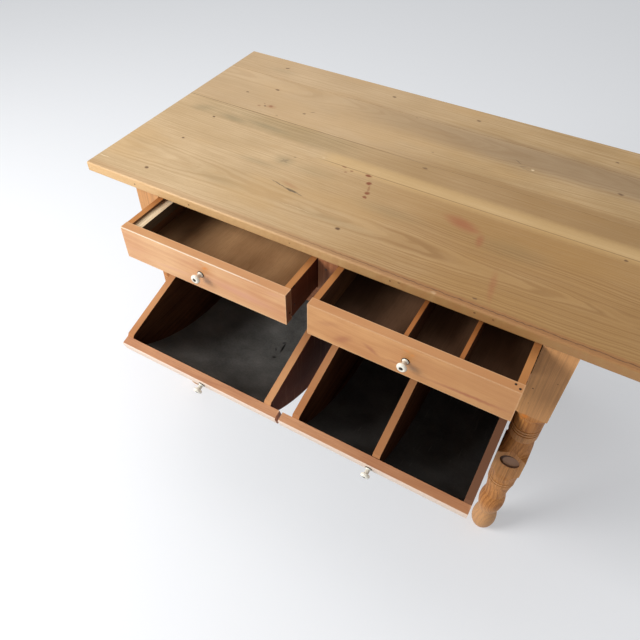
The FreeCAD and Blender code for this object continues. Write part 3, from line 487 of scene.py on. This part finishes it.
def side_layers(outward, face_light, out_stain, top_tan, tree, place, frayed, clouds, rings, least=0.35):
    """Layers of a drawer's or bin's side: stained outside, grimy inside, rubbed clean along the top."""
    top = facing(tree, UP, least)
    outside = facing(tree, outward)
    # Rubbing leaves scratches across the grain of the outside, a few millimetres apart
    across = add(tree, "Mapping", {"Vector": place, "Scale": (20, 240, 12)})
    scratch = add(tree, "TexNoise", {"Vector": across, "Scale": 1, "Detail": 2})
    scratch = add(tree, "MapRange", {"Value": scratch, "From Min": 0.6, "From Max": 0.7})
    # Painted shade: the right bin's last side is painted grey-brown along its top, where shade falls
    painted_shade_last_side = between(tree, place, X, *(corner.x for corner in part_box("bin_right_side_right")), CRISP_RIM)
    in_bins = between(tree, place, Z, 0, DRAWERS_BOTTOM, CRISP_RIM)
    return [
        ((outside,), 0.93, out_stain),
        ((outside, clouds), 0.45, "#2a120a"),
        ((outside, scratch), 0.3, "#8d5a3c"),
        ((top,), 0.92, face_light),
        ((top, clouds), 0.65, top_tan),
        ((top, painted_shade_last_side, in_bins), 0.88, "#694838"),
    ]


def shaded_left(node, tree, place, frayed, clouds, rings, strength=0.55):
    """Layers of a board in a drawer: black-brown painted shadow in the left corner and painted shade on what faces
    right.
    """
    low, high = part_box(node)
    # Painted shadow of the left side board over the left part of the bottom
    corner = between(tree, frayed, X, low.x - 0.05, low.x + 0.04, 0.13)
    return [((corner, facing(tree, UP)), strength, "#3a281b"),
            ((facing(tree, RIGHT),), 0.9, "#2c2010")]


class BAKERSTABLE_OT_drawers(bpy.types.Operator):
    """Finishes the fronts and boxes of both drawers"""

    bl_idname = "bakerstable.drawers"
    bl_label = "Drawers"

    def execute(self, context):
        colours = context.scene.bakers_table_colours
        # Oiled softwood: honey with peach, a satin sheen, the arrises rubbed pale, and a painted highlight on the left
        # front's top arris
        for node, light, dark, seed, streak, reach in (
                ("drawer_left_front", colours.front_light, colours.front_dark, 21, "#c98f70", 0.27),
                ("drawer_right_front", "#d39d61", "#b1763f", 27, "#9d5a33", -0.1)):
            wood(f"Oiled pine, {node}", [node], light, dark, "X", seed, (0, 60, -45),
                 partial(front_layers, node, streak, reach), rough=0.42, coat=0.12, ring=0.012, taper=0.03,
                 wander=0.02, weights=(0.2, 0.2, 0.6), relief=0.1)
        tan, top_tan = "#c2844c", "#965a2c"
        for side, outward in (("left", LEFT), ("right", RIGHT)):
            # Old poplar: stained red-brown outside by years of sliding, darkened by grime inside
            wood(f"Old poplar, drawer sides {side}", [f"drawer_left_side_{side}", f"drawer_right_side_{side}"],
                 colours.inside_light, colours.inside_dark, "Y", 30 + len(side), (200, 0, 20),
                 partial(side_layers, outward, tan, colours.stain, top_tan), rough=0.6, gloss=0.2)
        wood("Old poplar, dividers", ["drawer_right_divider_wide", "drawer_right_divider_narrow"],
             "#74513a", colours.inside_dark, "Y", 37, (200, 0, 0),
             partial(side_layers, DOWN, "#b06d38", colours.inside_dark, top_tan), rough=0.6, gloss=0.2)
        # Old softwood bottoms: brown and soft with handling, the right one darker
        for node, light, dark, seed in (("drawer_left_bottom", "#c79a6c", "#9a7048", 41),
                                        ("drawer_right_bottom", "#8a664c", "#5b3f2a", 43)):
            wood(f"Old pine, {node}", [node], light, dark, "Y", seed, (90, 0, -160),
                 partial(shaded_left, node), rough=0.55, weights=(0.12, 0.2, 0.68), relief=0.1, ring=0.02,
                 wander=0.03, gloss=0.3)
        wood("Old pine, drawer backs", ["drawer_left_back", "drawer_right_back"], colours.inside_light,
             colours.inside_dark, "X", 45, (0, 0, -60), rough=0.65)
        wood("Bare pine, till strip", ["drawer_left_strip"], "#f0d8b4", "#c0a27d", "Y", 47, (20, 0, -40),
             partial(shaded_left, "drawer_left_strip", strength=0.0), rough=0.7, ring=0.005, gloss=0.3)
        return {"FINISHED"}


def rail_layers(node, tree, place, frayed, clouds, rings):
    """Layers of a bin's rail: tan on top, a painted highlight on its front face, and painted shade towards the right.
    """
    x = add(tree, "SeparateXYZ", {"Vector": frayed}, out=X)
    # Painted shade: the rail is painted darker towards the right
    painted_shade_right = add(tree, "MapRange", {"Value": x, "From Min": x_at(400), "From Max": x_at(1000)}, **SMOOTH)
    # Painted highlight: the rail's front face is painted pale where light from the floor falls on it
    front = facing(tree, AHEAD, 0.45)
    return [((clouds,), 0.25, "#b97c50"), ((painted_shade_right,), 0.45, "#9c6238"),
            ((front,), 0.78, "#eddac8"),
            ((arris(tree, frayed, node, 0.004),), 0.3, "#e6bd92")]


class BAKERSTABLE_OT_bins(bpy.types.Operator):
    """Finishes the rails, sides, backs and sheet bellies of both bins"""

    bl_idname = "bakerstable.bins"
    bl_label = "Bins"

    def execute(self, context):
        colours = context.scene.bakers_table_colours
        tan, top_tan = colours.bin_light, colours.bin_dark
        grime_light, grime_dark = "#6a452d", "#3a2115"
        for side, outward in (("left", LEFT), ("right", RIGHT)):
            # Old poplar: red-brown stain outside, nearly black grime inside, clean worn edges on top
            wood(f"Old poplar, bin sides {side}", [f"bin_left_side_{side}", f"bin_right_side_{side}"], grime_light,
                 grime_dark, "Y", 50 + len(side), (150, 0, 60),
                 partial(side_layers, outward, tan, colours.stain, top_tan, least=0.2),
                 rough=0.6, gloss=0.04, weights=(0.2, 0.3, 0.5))
        wood("Old poplar, bin divider", ["bin_right_divider"], grime_light, grime_dark, "Y", 57, (150, 0, 60),
             partial(side_layers, DOWN, "#b98358", grime_dark, top_tan, least=0.2), rough=0.6, gloss=0.04)
        for name, seed in (("bin_left", 61), ("bin_right", 67)):
            # Oiled softwood with rubbed arrises
            wood(f"Oiled pine, rail of {name}", [f"{name}_front"], colours.bin_light, colours.bin_dark, "X", seed,
                 (0, 30, -40), partial(rail_layers, f"{name}_front"), rough=0.45, coat=0.08,
                 weights=(0.25, 0.3, 0.45))
        wood("Old poplar, bin backs", ["bin_left_back", "bin_right_back"], grime_light, grime_dark, "X", 71,
             (0, 80, 0), rough=0.65)
        dress(dull_sheet(colours.sheet), "bin_left_lining")
        # Painted shade: the right bin's sheet is painted darker than the left one's, as it lies in shade
        dress(dull_sheet(linear("#555451")), "bin_right_lining")
        return {"FINISHED"}


# Dark scores in the left bin's sheet, each a row for spots()
SHEET_SCORES = ((443, 78, 54, 8, -80, 1.0), (443, 36, 15, 9, 30, 0.9), (431, 64, 18, 5, -60, 0.7),
                (436, 96, 14, 7, 50, 0.7))


def dull_sheet(colour):
    """Rolled sheet iron, blackened by age: charcoal, with a soft satin light, cloudy and finely scratched."""
    material, tree = new_material("Blackened sheet iron")
    place = add(tree, "TexCoord", out="Object")
    clouds = add(tree, "TexNoise", {"Vector": place, "Scale": 14, "Detail": 5, "Roughness": 0.6})
    fine = add(tree, "TexNoise", {"Vector": place, "Scale": 220, "Detail": 2})
    tone = add(tree, "Math", {0: fine, 1: 0.35, 2: clouds}, operation="MULTIPLY_ADD")
    darker = [c * 0.62 for c in colour[:3]] + [1]
    lighter = [c * 1.35 for c in colour[:3]] + [1]
    shade = add(tree, "ValToRGB", {"Fac": tone}, stops=((0.45, darker), (0.9, lighter)))
    stretched = add(tree, "Mapping", {"Vector": place, "Scale": (260, 18, 18), "Rotation": (0, 0, 0.5)})
    scuffs = add(tree, "TexNoise", {"Vector": stretched, "Scale": 1, "Detail": 2})
    scuffs = add(tree, "MapRange", {"Value": scuffs, "From Min": 0.66, "From Max": 0.74, "To Max": 0.35})
    shade = add(tree, "Mix", {0: scuffs, 6: shade, 7: "#8d8b86"}, **COLOURS)
    frayed = add(tree, "VectorMath", {0: clouds, 1: (FRAY,) * 3, 2: place}, operation="MULTIPLY_ADD")
    scored = spots(tree, frayed, SHEET_SCORES, crisp=0.3, height=SHEET_FLOOR)
    shade = add(tree, "Mix", {0: scored, 6: shade, 7: "#141312"}, **COLOURS)
    dull = add(tree, "MapRange", {"Value": clouds, "From Min": 0.3, "From Max": 0.7, "To Min": 0.42, "To Max": 0.62})
    bump = add(tree, "Bump", {"Height": tone, "Strength": 0.2, "Distance": 0.002})
    shader = add(tree, "BsdfPrincipled", {"Base Color": shade, "Roughness": dull, "Metallic": 0.3, "Normal": bump})
    add(tree, "OutputMaterial", {"Surface": shader})
    return material


def old_metal(name, colour, rough, metallic):
    """A metal gone dull in a kitchen: brown-black film over a soft metal sheen."""
    material, tree = new_material(name)
    place = add(tree, "TexCoord", out="Object")
    film = add(tree, "TexNoise", {"Vector": place, "Scale": 400, "Detail": 4})
    darker = [c * 0.45 for c in colour[:3]] + [1]
    shade = add(tree, "ValToRGB", {"Fac": film}, stops=((0.4, darker), (0.62, colour)))
    dull = add(tree, "MapRange", {"Value": film, "To Min": rough - 0.12, "To Max": rough + 0.18})
    bump = add(tree, "Bump", {"Height": film, "Strength": 0.15, "Distance": 0.0004})
    shader = add(tree, "BsdfPrincipled", {"Base Color": shade, "Roughness": dull, "Metallic": metallic, "Normal": bump})
    add(tree, "OutputMaterial", {"Surface": shader})
    return material


class BAKERSTABLE_OT_frame(bpy.types.Operator):
    """Finishes the legs, aprons, rails, stile, runners and guides"""

    bl_idname = "bakerstable.frame"
    bl_label = "Legs and frame"

    def execute(self, context):
        colours = context.scene.bakers_table_colours
        for index, leg in enumerate(("leg_front_left", "leg_front_right", "leg_back_left", "leg_back_right")):
            # Turned softwood: grain up the leg, grooves darkened by old grime and painted shade, arrises and beads
            # rubbed pale
            wood(f"Turned pine, {leg}", [leg], colours.leg_light, colours.leg_dark, "Z", 80 + index,
                 (45 - 90 * (index % 2), 40, 0), partial(leg_layers, leg), rough=0.55, gloss=0.2, ring=0.0045,
                 fibre=0.0016, wander=0.004, weights=(0.3, 0.45, 0.25), relief=0.3)
        # Stained softwood, darker and redder than the top because light never bleached it
        for node, axis, seed, pith in (
                ("apron_back", "X", 90, (0, 50, -60)), ("rail_top", "X", 91, (0, 50, -60)),
                ("rail_middle", "X", 92, (0, 50, -60)), ("apron_left", "Y", 95, (50, 0, -60)),
                ("apron_right", "Y", 96, (-50, 0, -60)), ("stile_front", "Z", 99, (30, 40, 0))):
            wood(f"Stained pine, {node}", [node], colours.case_light, colours.case_dark, axis, seed, pith,
                 partial(worn_edges, node), rough=0.5)
        # Bare wood polished by sliding, grey with age
        runners = [f"{kind}_{side}" for kind in ("drawer_runner", "bin_guide") for side in ("left", "right", "centre")]
        wood("Bare pine, runners", runners, colours.raw_light, colours.raw_dark, "Y", 101, (40, 0, -60), rough=0.65)
        return {"FINISHED"}


# Wear on the front right leg: an orange rub under the drawer, and old nail holes
LEG_RUBS = ((1034, 519, 22, 18, 0, 1.0), (1028, 506, 14, 9, 20, 0.7))
LEG_HOLES = ((1027, 604, 4, 5, 0, 1.0), (1062, 640, 4, 4, 0, 0.6), (1030, 560, 3, 6, 0, 0.4))


def leg_layers(leg, tree, place, frayed, clouds, rings):
    """Layers of a turned leg: grime and painted shade in its hollows, rubbed crests, and grey dust in the socket beside
    a painted shadow.
    """
    # Grime and painted shade: the leg is painted darker in its hollows
    crease = add(tree, "NewGeometry", out="Pointiness")
    hollow = add(tree, "MapRange", {"Value": crease, "From Min": 0.49, "From Max": 0.42})
    crest = add(tree, "MapRange", {"Value": crease, "From Min": 0.52, "From Max": 0.6})
    low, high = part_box(leg)
    foot = between(tree, frayed, Z, low.z, low.z + 0.09, 0.06)
    middle = ((low + high) / 2).x / MM - LEFT_END / MM
    hole = spots(tree, place, ((middle, SOCKET_HEIGHT, SOCKET_WIDTH + 1, SOCKET_WIDTH + 1, 0, 1.0),),
                 plane="front", crisp=0.97)
    # Light from the upper left leaves that side of the socket's floor dark
    dust_outside_painted_shadow = spots(tree, place, ((middle + 5, SOCKET_HEIGHT - 7, SOCKET_WIDTH, SOCKET_WIDTH, 0, 1.0),),
                 plane="front", crisp=0.85)
    deep = between(tree, place, Y, low.y + 0.0005, low.y + 0.006, 0.0005)
    return [
        ((clouds,), 0.3, "#a0632f"),
        ((foot,), 0.5, "#d0a67c"),
        ((hollow,), 0.85, "#3f2413"),
        ((crest,), 0.4, "#dcae7c"),
        ((arris(tree, frayed, leg, WORN_EDGE),), 0.35, "#d8a874"),
        ((spots(tree, frayed, LEG_RUBS, plane="front", crisp=0.2),), 0.9, "#d97f2e"),
        ((spots(tree, place, LEG_HOLES, plane="front"),), 0.9, "#4a2d18"),
        # Painted shadow: the socket's walls and floor are painted dark, and the dust is laid off-centre so that a dark
        # crescent stays
        ((hole, deep), 0.92, "#3a2316"),
        ((dust_outside_painted_shadow, hole, deep), 0.9, "#a07a60"),
    ]


class BAKERSTABLE_OT_hardware(bpy.types.Operator):
    """Finishes the knobs, washers, screws and rods, and drives in the nails and tacks"""

    bl_idname = "bakerstable.hardware"
    bl_label = "Knobs, rods and nails"

    def execute(self, context):
        colours = context.scene.bakers_table_colours
        sizes = context.scene.bakers_table_sizes
        china = glazed_porcelain(colours.porcelain)
        iron = old_metal("Browned iron", colours.iron, 0.5, 0.85)
        steel = old_metal("Dull drawn steel", colours.rod, 0.42, 0.9)
        dress(steel, "bin_left_rod", "bin_right_rod")
        for body in ("drawer_left", "drawer_right", "bin_left", "bin_right"):
            dress(china, f"{body}_knob")
            dress(iron, f"{body}_washer")
            seat, aim = screw_seat(f"{body}_screw")
            screw = heads(f"{body}_slotted_screw", iron, [(seat, aim, SCREW_TURN)], SCREW_HEAD, sizes.slot)
            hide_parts(f"{body}_screw")
            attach(screw, body)
        for name, body, node, aim, spots_on_table in NAILS:
            places = [on_node(node, on_table(*spot), Vector(aim)) for spot in spots_on_table]
            metal = steel if node == "stile_front" else iron
            nails = heads(name, metal, places, (sizes.nail, sizes.nail * NAIL_RISE))
            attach(nails, body)
        for body in ("bin_left", "bin_right"):
            tacks = heads(f"{body}_tacks", iron, tack_places(f"{body}_lining"), (sizes.tack, sizes.tack * NAIL_RISE))
            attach(tacks, body)
        return {"FINISHED"}


# Width and rise of a knob's screw head in metres, how deep its slot goes and how it is turned in radians
SCREW_HEAD = (0.008, 0.0025)
SLOT_SHARE = 0.5
SCREW_TURN = 0.6

# A nail's rise as a share of its width, how deep a head's rim goes as a share of its rise, facets round a head
# and up it, the distance in metres at which its points are one, and the angle in degrees from which an edge is sharp
NAIL_RISE = 0.22
HEAD_SINK = 0.15
HEAD_STEPS = 20
DOME_STEPS = 6
MERGE = 1e-6
SHARP = 40

# How far outside a part a ray starts, in metres
RAY_START = 1

# Nails: name, body, the part they are in, the side they are driven from, and places in mm
NAILS = (
    ("stile_nails", "table", "stile_front", AHEAD, ((589, 0, 697), (597, 0, 672))),
    ("drawer_left_nails_front", "drawer_left", "drawer_left_front", RIGHT, ((0, -86, 662),)),
    ("drawer_left_nails_right", "drawer_left", "drawer_left_side_right", RIGHT, ((0, -66, 668), (0, -66, 714))),
    ("drawer_left_nails_left", "drawer_left", "drawer_left_side_left", LEFT, ((0, -66, 668), (0, -66, 714))),
    ("drawer_right_nails_right", "drawer_right", "drawer_right_side_right", RIGHT, ((0, -64, 666), (0, -64, 712))),
    ("drawer_right_nails_left", "drawer_right", "drawer_right_side_left", LEFT, ((0, -64, 668), (0, -64, 714))),
    ("drawer_right_nails_top", "drawer_right", "drawer_right_front", UP, ((1007, -88, 0), (998, -82, 0))),
    ("apron_left_nails", "table", "apron_left", LEFT, ((0, 110, 600), (0, 110, 700), (0, 545, 600), (0, 545, 700))),
    ("apron_right_nails", "table", "apron_right", RIGHT,
     ((0, 110, 600), (0, 110, 700), (0, 545, 600), (0, 545, 700))),
    ("apron_back_nails", "table", "apron_back", BEHIND,
     ((200, 0, 600), (200, 0, 700), (985, 0, 600), (985, 0, 700))),
)

# Tacks: where they go round the outside of the belly, in radians, and how far from the sheet's edge, in metres
TACK_TURNS = [math.radians(a) for a in range(196, 361, 12)]
TACK_INSET = 0.007


def skin_of(node):
    """A part's faces, for rays to meet."""
    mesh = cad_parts[node].data
    return BVHTree.FromPolygons([v.co for v in mesh.vertices], [p.vertices for p in mesh.polygons])


def on_node(node, place, aim):
    """The place on a part's skin that a nail driven against an aim meets, the skin's own aim there, and no turn."""
    low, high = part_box(node)
    start = place.copy()
    for k in (X, Y, Z):
        if aim[k]:
            start[k] = high[k] + RAY_START if aim[k] > 0 else low[k] - RAY_START
    hit, normal, _, _ = skin_of(node).ray_cast(start, -aim)
    if hit is None:
        raise RuntimeError(f"No nail can be driven into {node} at {tuple(place)}")
    return hit, normal, 0.0


def tack_places(node):
    """Places down both edges of a bin's sheet, on its outside, with the way that each tack's head looks."""
    skin = skin_of(node)
    low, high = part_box(node)
    middle = (low + high) / 2
    places = []
    for x in (low.x + TACK_INSET, high.x - TACK_INSET):
        for turn in TACK_TURNS:
            away = Vector((0, math.cos(turn), math.sin(turn)))
            hit, normal, _, _ = skin.ray_cast(Vector((x, middle.y, high.z)) + away, -away)
            places.append((hit, normal, 0.0))
    return places


def screw_seat(node):
    """The middle of a knob screw's head, where it lies on the knob, and the way that it looks."""
    points = [v.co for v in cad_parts[node].data.vertices]
    middle = sum(points, Vector()) / len(points)
    tip = max(points, key=lambda p: (p - middle).length)
    crown = max(points, key=lambda p: (p - tip).length)
    aim = (crown - tip).normalized()
    return crown - aim * SCREW_HEAD[1], aim


def heads(name, material, places, size, slot=0.0):
    """A piece of low domed heads, each at a place with an aim and a turn, with a slot across where one is cut."""
    width, rise = size
    dome = bmesh.new()
    angles = [i * math.pi / 2 / DOME_STEPS for i in range(DOME_STEPS + 1)]
    rim = [(width / 2, 0, -rise * HEAD_SINK)] + [(width / 2 * math.cos(a), 0, rise * math.sin(a)) for a in angles]
    verts = [dome.verts.new(p) for p in rim]
    edges = [dome.edges.new(pair) for pair in zip(verts, verts[1:])]
    bmesh.ops.spin(dome, geom=verts + edges, cent=(0, 0, 0), axis=UP, angle=math.tau, steps=HEAD_STEPS)
    bmesh.ops.remove_doubles(dome, verts=dome.verts[:], dist=MERGE)
    bmesh.ops.holes_fill(dome, edges=dome.edges[:])
    bmesh.ops.recalc_face_normals(dome, faces=dome.faces[:])
    if slot:
        for side in (-slot / 2, slot / 2):
            bmesh.ops.bisect_plane(dome, geom=dome.verts[:] + dome.edges[:] + dome.faces[:], plane_co=(0, side, 0),
                                   plane_no=(0, 1, 0))
        channel = [f for f in dome.faces if abs(f.calc_center_median().y) < slot / 2 and f.normal.z > 0.1]
        cut = bmesh.ops.extrude_face_region(dome, geom=channel)
        for vert in cut["geom"]:
            if isinstance(vert, bmesh.types.BMVert):
                vert.co.z = min(vert.co.z, rise * (1 - SLOT_SHARE))
        bmesh.ops.remove_doubles(dome, verts=dome.verts[:], dist=MERGE)
        bmesh.ops.recalc_face_normals(dome, faces=dome.faces[:])
    single = bpy.data.meshes.new("head")
    dome.to_mesh(single)
    dome.free()
    together = bmesh.new()
    for seat, aim, turn in places:
        before = len(together.verts)
        together.from_mesh(single)
        together.verts.ensure_lookup_table()
        upright = aim.to_track_quat("Z", "Y").to_matrix().to_4x4()
        lay = Matrix.Translation(seat) @ upright @ Matrix.Rotation(turn, 4, "Z")
        bmesh.ops.transform(together, matrix=lay, verts=together.verts[before:])
    for face in together.faces:
        face.smooth = True
    mesh = bpy.data.meshes.new(name)
    together.to_mesh(mesh)
    together.free()
    bpy.data.meshes.remove(single)
    mesh.set_sharp_from_angle(angle=math.radians(SHARP))
    mesh.materials.append(material)
    piece = bpy.data.objects.new(name, mesh)
    bpy.context.scene.collection.objects.link(piece)
    return piece


def glazed_porcelain(colour):
    """Porcelain, fired with a clear glaze: warm white, glossy, with faint specks of dirt in the glaze."""
    material, tree = new_material("Glazed porcelain")
    place = add(tree, "TexCoord", out="Object")
    specks = add(tree, "TexNoise", {"Vector": place, "Scale": 700, "Detail": 2})
    specks = add(tree, "MapRange", {"Value": specks, "From Min": 0.64, "From Max": 0.72, "To Max": 0.5})
    warm = add(tree, "TexNoise", {"Vector": place, "Scale": 90, "Detail": 2})
    warm = add(tree, "MapRange", {"Value": warm, "To Max": 0.5})
    shade = add(tree, "Mix", {0: warm, 6: colour, 7: "#dccfb4"}, **COLOURS)
    shade = add(tree, "Mix", {0: specks, 6: shade, 7: "#8b7a5f"}, **COLOURS)
    # Painted shade: the glaze is painted darker in the knob's creases
    crease = add(tree, "NewGeometry", out="Pointiness")
    hollow = add(tree, "MapRange", {"Value": crease, "From Min": 0.48, "From Max": 0.4, "To Max": 0.5})
    shade = add(tree, "Mix", {0: hollow, 6: shade, 7: "#7a6a50"}, **COLOURS)
    bump = add(tree, "Bump", {"Height": warm, "Strength": 0.08, "Distance": 0.0004})
    shader = add(tree, "BsdfPrincipled", {"Base Color": shade, "Roughness": 0.14, "Normal": bump,
                                          "Coat Weight": 0.6, "Coat Roughness": 0.05})
    add(tree, "OutputMaterial", {"Surface": shader})
    return material


# Lamps of the studio: name, place and aim in metres, width, power in watts
LAMPS = (
    ("Window on the left", (-2.3, -2.2, 2.2), (0, 0, 0.6), 1.7, 120),
    ("Ceiling", (-0.6, 0.4, 3.0), (0, 0, 0.4), 2.4, 18),
)

# Strength of the daylight, how much the floor glows by itself, and half the floor's width in metres
SKY_STRENGTH = 0.42
FLOOR_GLOW = 0.34
FLOOR_REACH = 14

# The camera that took the photograph: focal length in pixels, turn, dip and roll in radians, place in mm
CAMERA_FOCAL = 601.23
CAMERA_TURN = -0.50668
CAMERA_DIP = 0.82471
CAMERA_ROLL = 0.01459
CAMERA_PLACE = (1004.5, -747.5, 1497.1)
PICTURE_WIDTH = 640
SENSOR = 36


class BAKERSTABLE_OT_stage(bpy.types.Operator):
    """Makes the floor, the soft lamps and the camera"""

    bl_idname = "bakerstable.stage"
    bl_label = "Stage"

    def execute(self, context):
        scene = context.scene
        scene.view_settings.view_transform = "Standard"
        # Matt white paper: pale, with the table's soft shadow, and a glow of its own for the camera and in gloss
        material, tree = new_material("Matt paper backdrop")
        matt = add(tree, "BsdfPrincipled", {"Base Color": scene.bakers_table_colours.floor, "Roughness": 0.9})
        glow = add(tree, "Emission", {"Color": "#f3f5f8", "Strength": 1.0})
        seen = 0.0
        for ray in ("Camera", "Glossy", "Transmission"):
            seen = add(tree, "Math", {0: seen, 1: add(tree, "LightPath", out=f"Is {ray} Ray")}, operation="MAXIMUM")
        seen = add(tree, "Math", {0: seen, 1: FLOOR_GLOW}, operation="MULTIPLY")
        both = add(tree, "MixShader", {0: seen, 1: matt, 2: glow})
        add(tree, "OutputMaterial", {"Surface": both})
        mesh = bpy.data.meshes.new("floor")
        corners = [(-1, -1), (1, -1), (1, 1), (-1, 1)]
        mesh.from_pydata([(x * FLOOR_REACH, y * FLOOR_REACH, 0) for x, y in corners], [], [(0, 1, 2, 3)])
        mesh.materials.append(material)
        floor = bpy.data.objects.new("floor", mesh)
        scene.collection.objects.link(floor)
        world = bpy.data.worlds.new("Soft daylight")
        world.use_nodes = True
        # Even daylight on the table, and a pale wall that only the camera sees
        tree = world.node_tree
        tree.nodes.clear()
        light = add(tree, "Background", {"Color": "#f4f6f9", "Strength": SKY_STRENGTH})
        wall = add(tree, "Background", {"Color": "#e4e6e9", "Strength": 1.0})
        camera_ray = add(tree, "LightPath", out="Is Camera Ray")
        both = add(tree, "MixShader", {0: camera_ray, 1: light, 2: wall})
        add(tree, "OutputWorld", {"Surface": both})
        scene.world = world
        for name, place, aim, size, power in LAMPS:
            lamp = bpy.data.lights.new(name, "AREA")
            lamp.shape, lamp.size, lamp.energy = "DISK", size, power
            obj = bpy.data.objects.new(name, lamp)
            obj.location = place
            obj.rotation_euler = (Vector(aim) - Vector(place)).to_track_quat("-Z", "Y").to_euler()
            scene.collection.objects.link(obj)
        make_camera(scene)
        return {"FINISHED"}


def make_camera(scene):
    """A camera at the photograph's place and angle."""
    data = bpy.data.cameras.new("Camera")
    data.sensor_width = SENSOR
    data.lens = CAMERA_FOCAL * SENSOR / PICTURE_WIDTH
    camera = bpy.data.objects.new("Camera", data)
    ahead = Vector((math.sin(CAMERA_TURN) * math.cos(CAMERA_DIP),
                    math.cos(CAMERA_TURN) * math.cos(CAMERA_DIP), -math.sin(CAMERA_DIP)))
    right = Vector((math.cos(CAMERA_TURN), -math.sin(CAMERA_TURN), 0))
    up = right.cross(ahead)
    rolled_right = right * math.cos(CAMERA_ROLL) + up * math.sin(CAMERA_ROLL)
    rolled_up = up * math.cos(CAMERA_ROLL) - right * math.sin(CAMERA_ROLL)
    camera.matrix_world = Matrix((rolled_right, rolled_up, -ahead)).transposed().to_4x4()
    camera.location = on_table(*CAMERA_PLACE)
    scene.collection.objects.link(camera)
    scene.camera = camera


STEPS = ("stage", "top", "frame", "drawers", "bins", "hardware")


class BAKERSTABLE_PT_panel(bpy.types.Panel):
    """Steps, colours and sizes of the bakers table"""

    bl_label = "Bakers table"
    bl_space_type = "VIEW_3D"
    bl_region_type = "UI"
    bl_category = "Bakers table"

    def draw(self, context):
        for step in STEPS:
            self.layout.operator(f"bakerstable.{step}")
        for group in (context.scene.bakers_table_colours, context.scene.bakers_table_sizes):
            for name in group.__annotations__:
                self.layout.prop(group, name)


CLASSES = (BakersTableColours, BakersTableSizes, BAKERSTABLE_OT_stage, BAKERSTABLE_OT_top, BAKERSTABLE_OT_frame,
           BAKERSTABLE_OT_drawers, BAKERSTABLE_OT_bins, BAKERSTABLE_OT_hardware, BAKERSTABLE_PT_panel)


def register():
    for item in CLASSES:
        bpy.utils.register_class(item)
    bpy.types.Scene.bakers_table_colours = bpy.props.PointerProperty(type=BakersTableColours)
    bpy.types.Scene.bakers_table_sizes = bpy.props.PointerProperty(type=BakersTableSizes)


def unregister():
    del bpy.types.Scene.bakers_table_sizes
    del bpy.types.Scene.bakers_table_colours
    for item in reversed(CLASSES):
        bpy.utils.unregister_class(item)


def main():
    """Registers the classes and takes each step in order."""
    register()
    for step in STEPS:
        getattr(bpy.ops.bakerstable, step)()


if __name__ == "__main__":
    main()
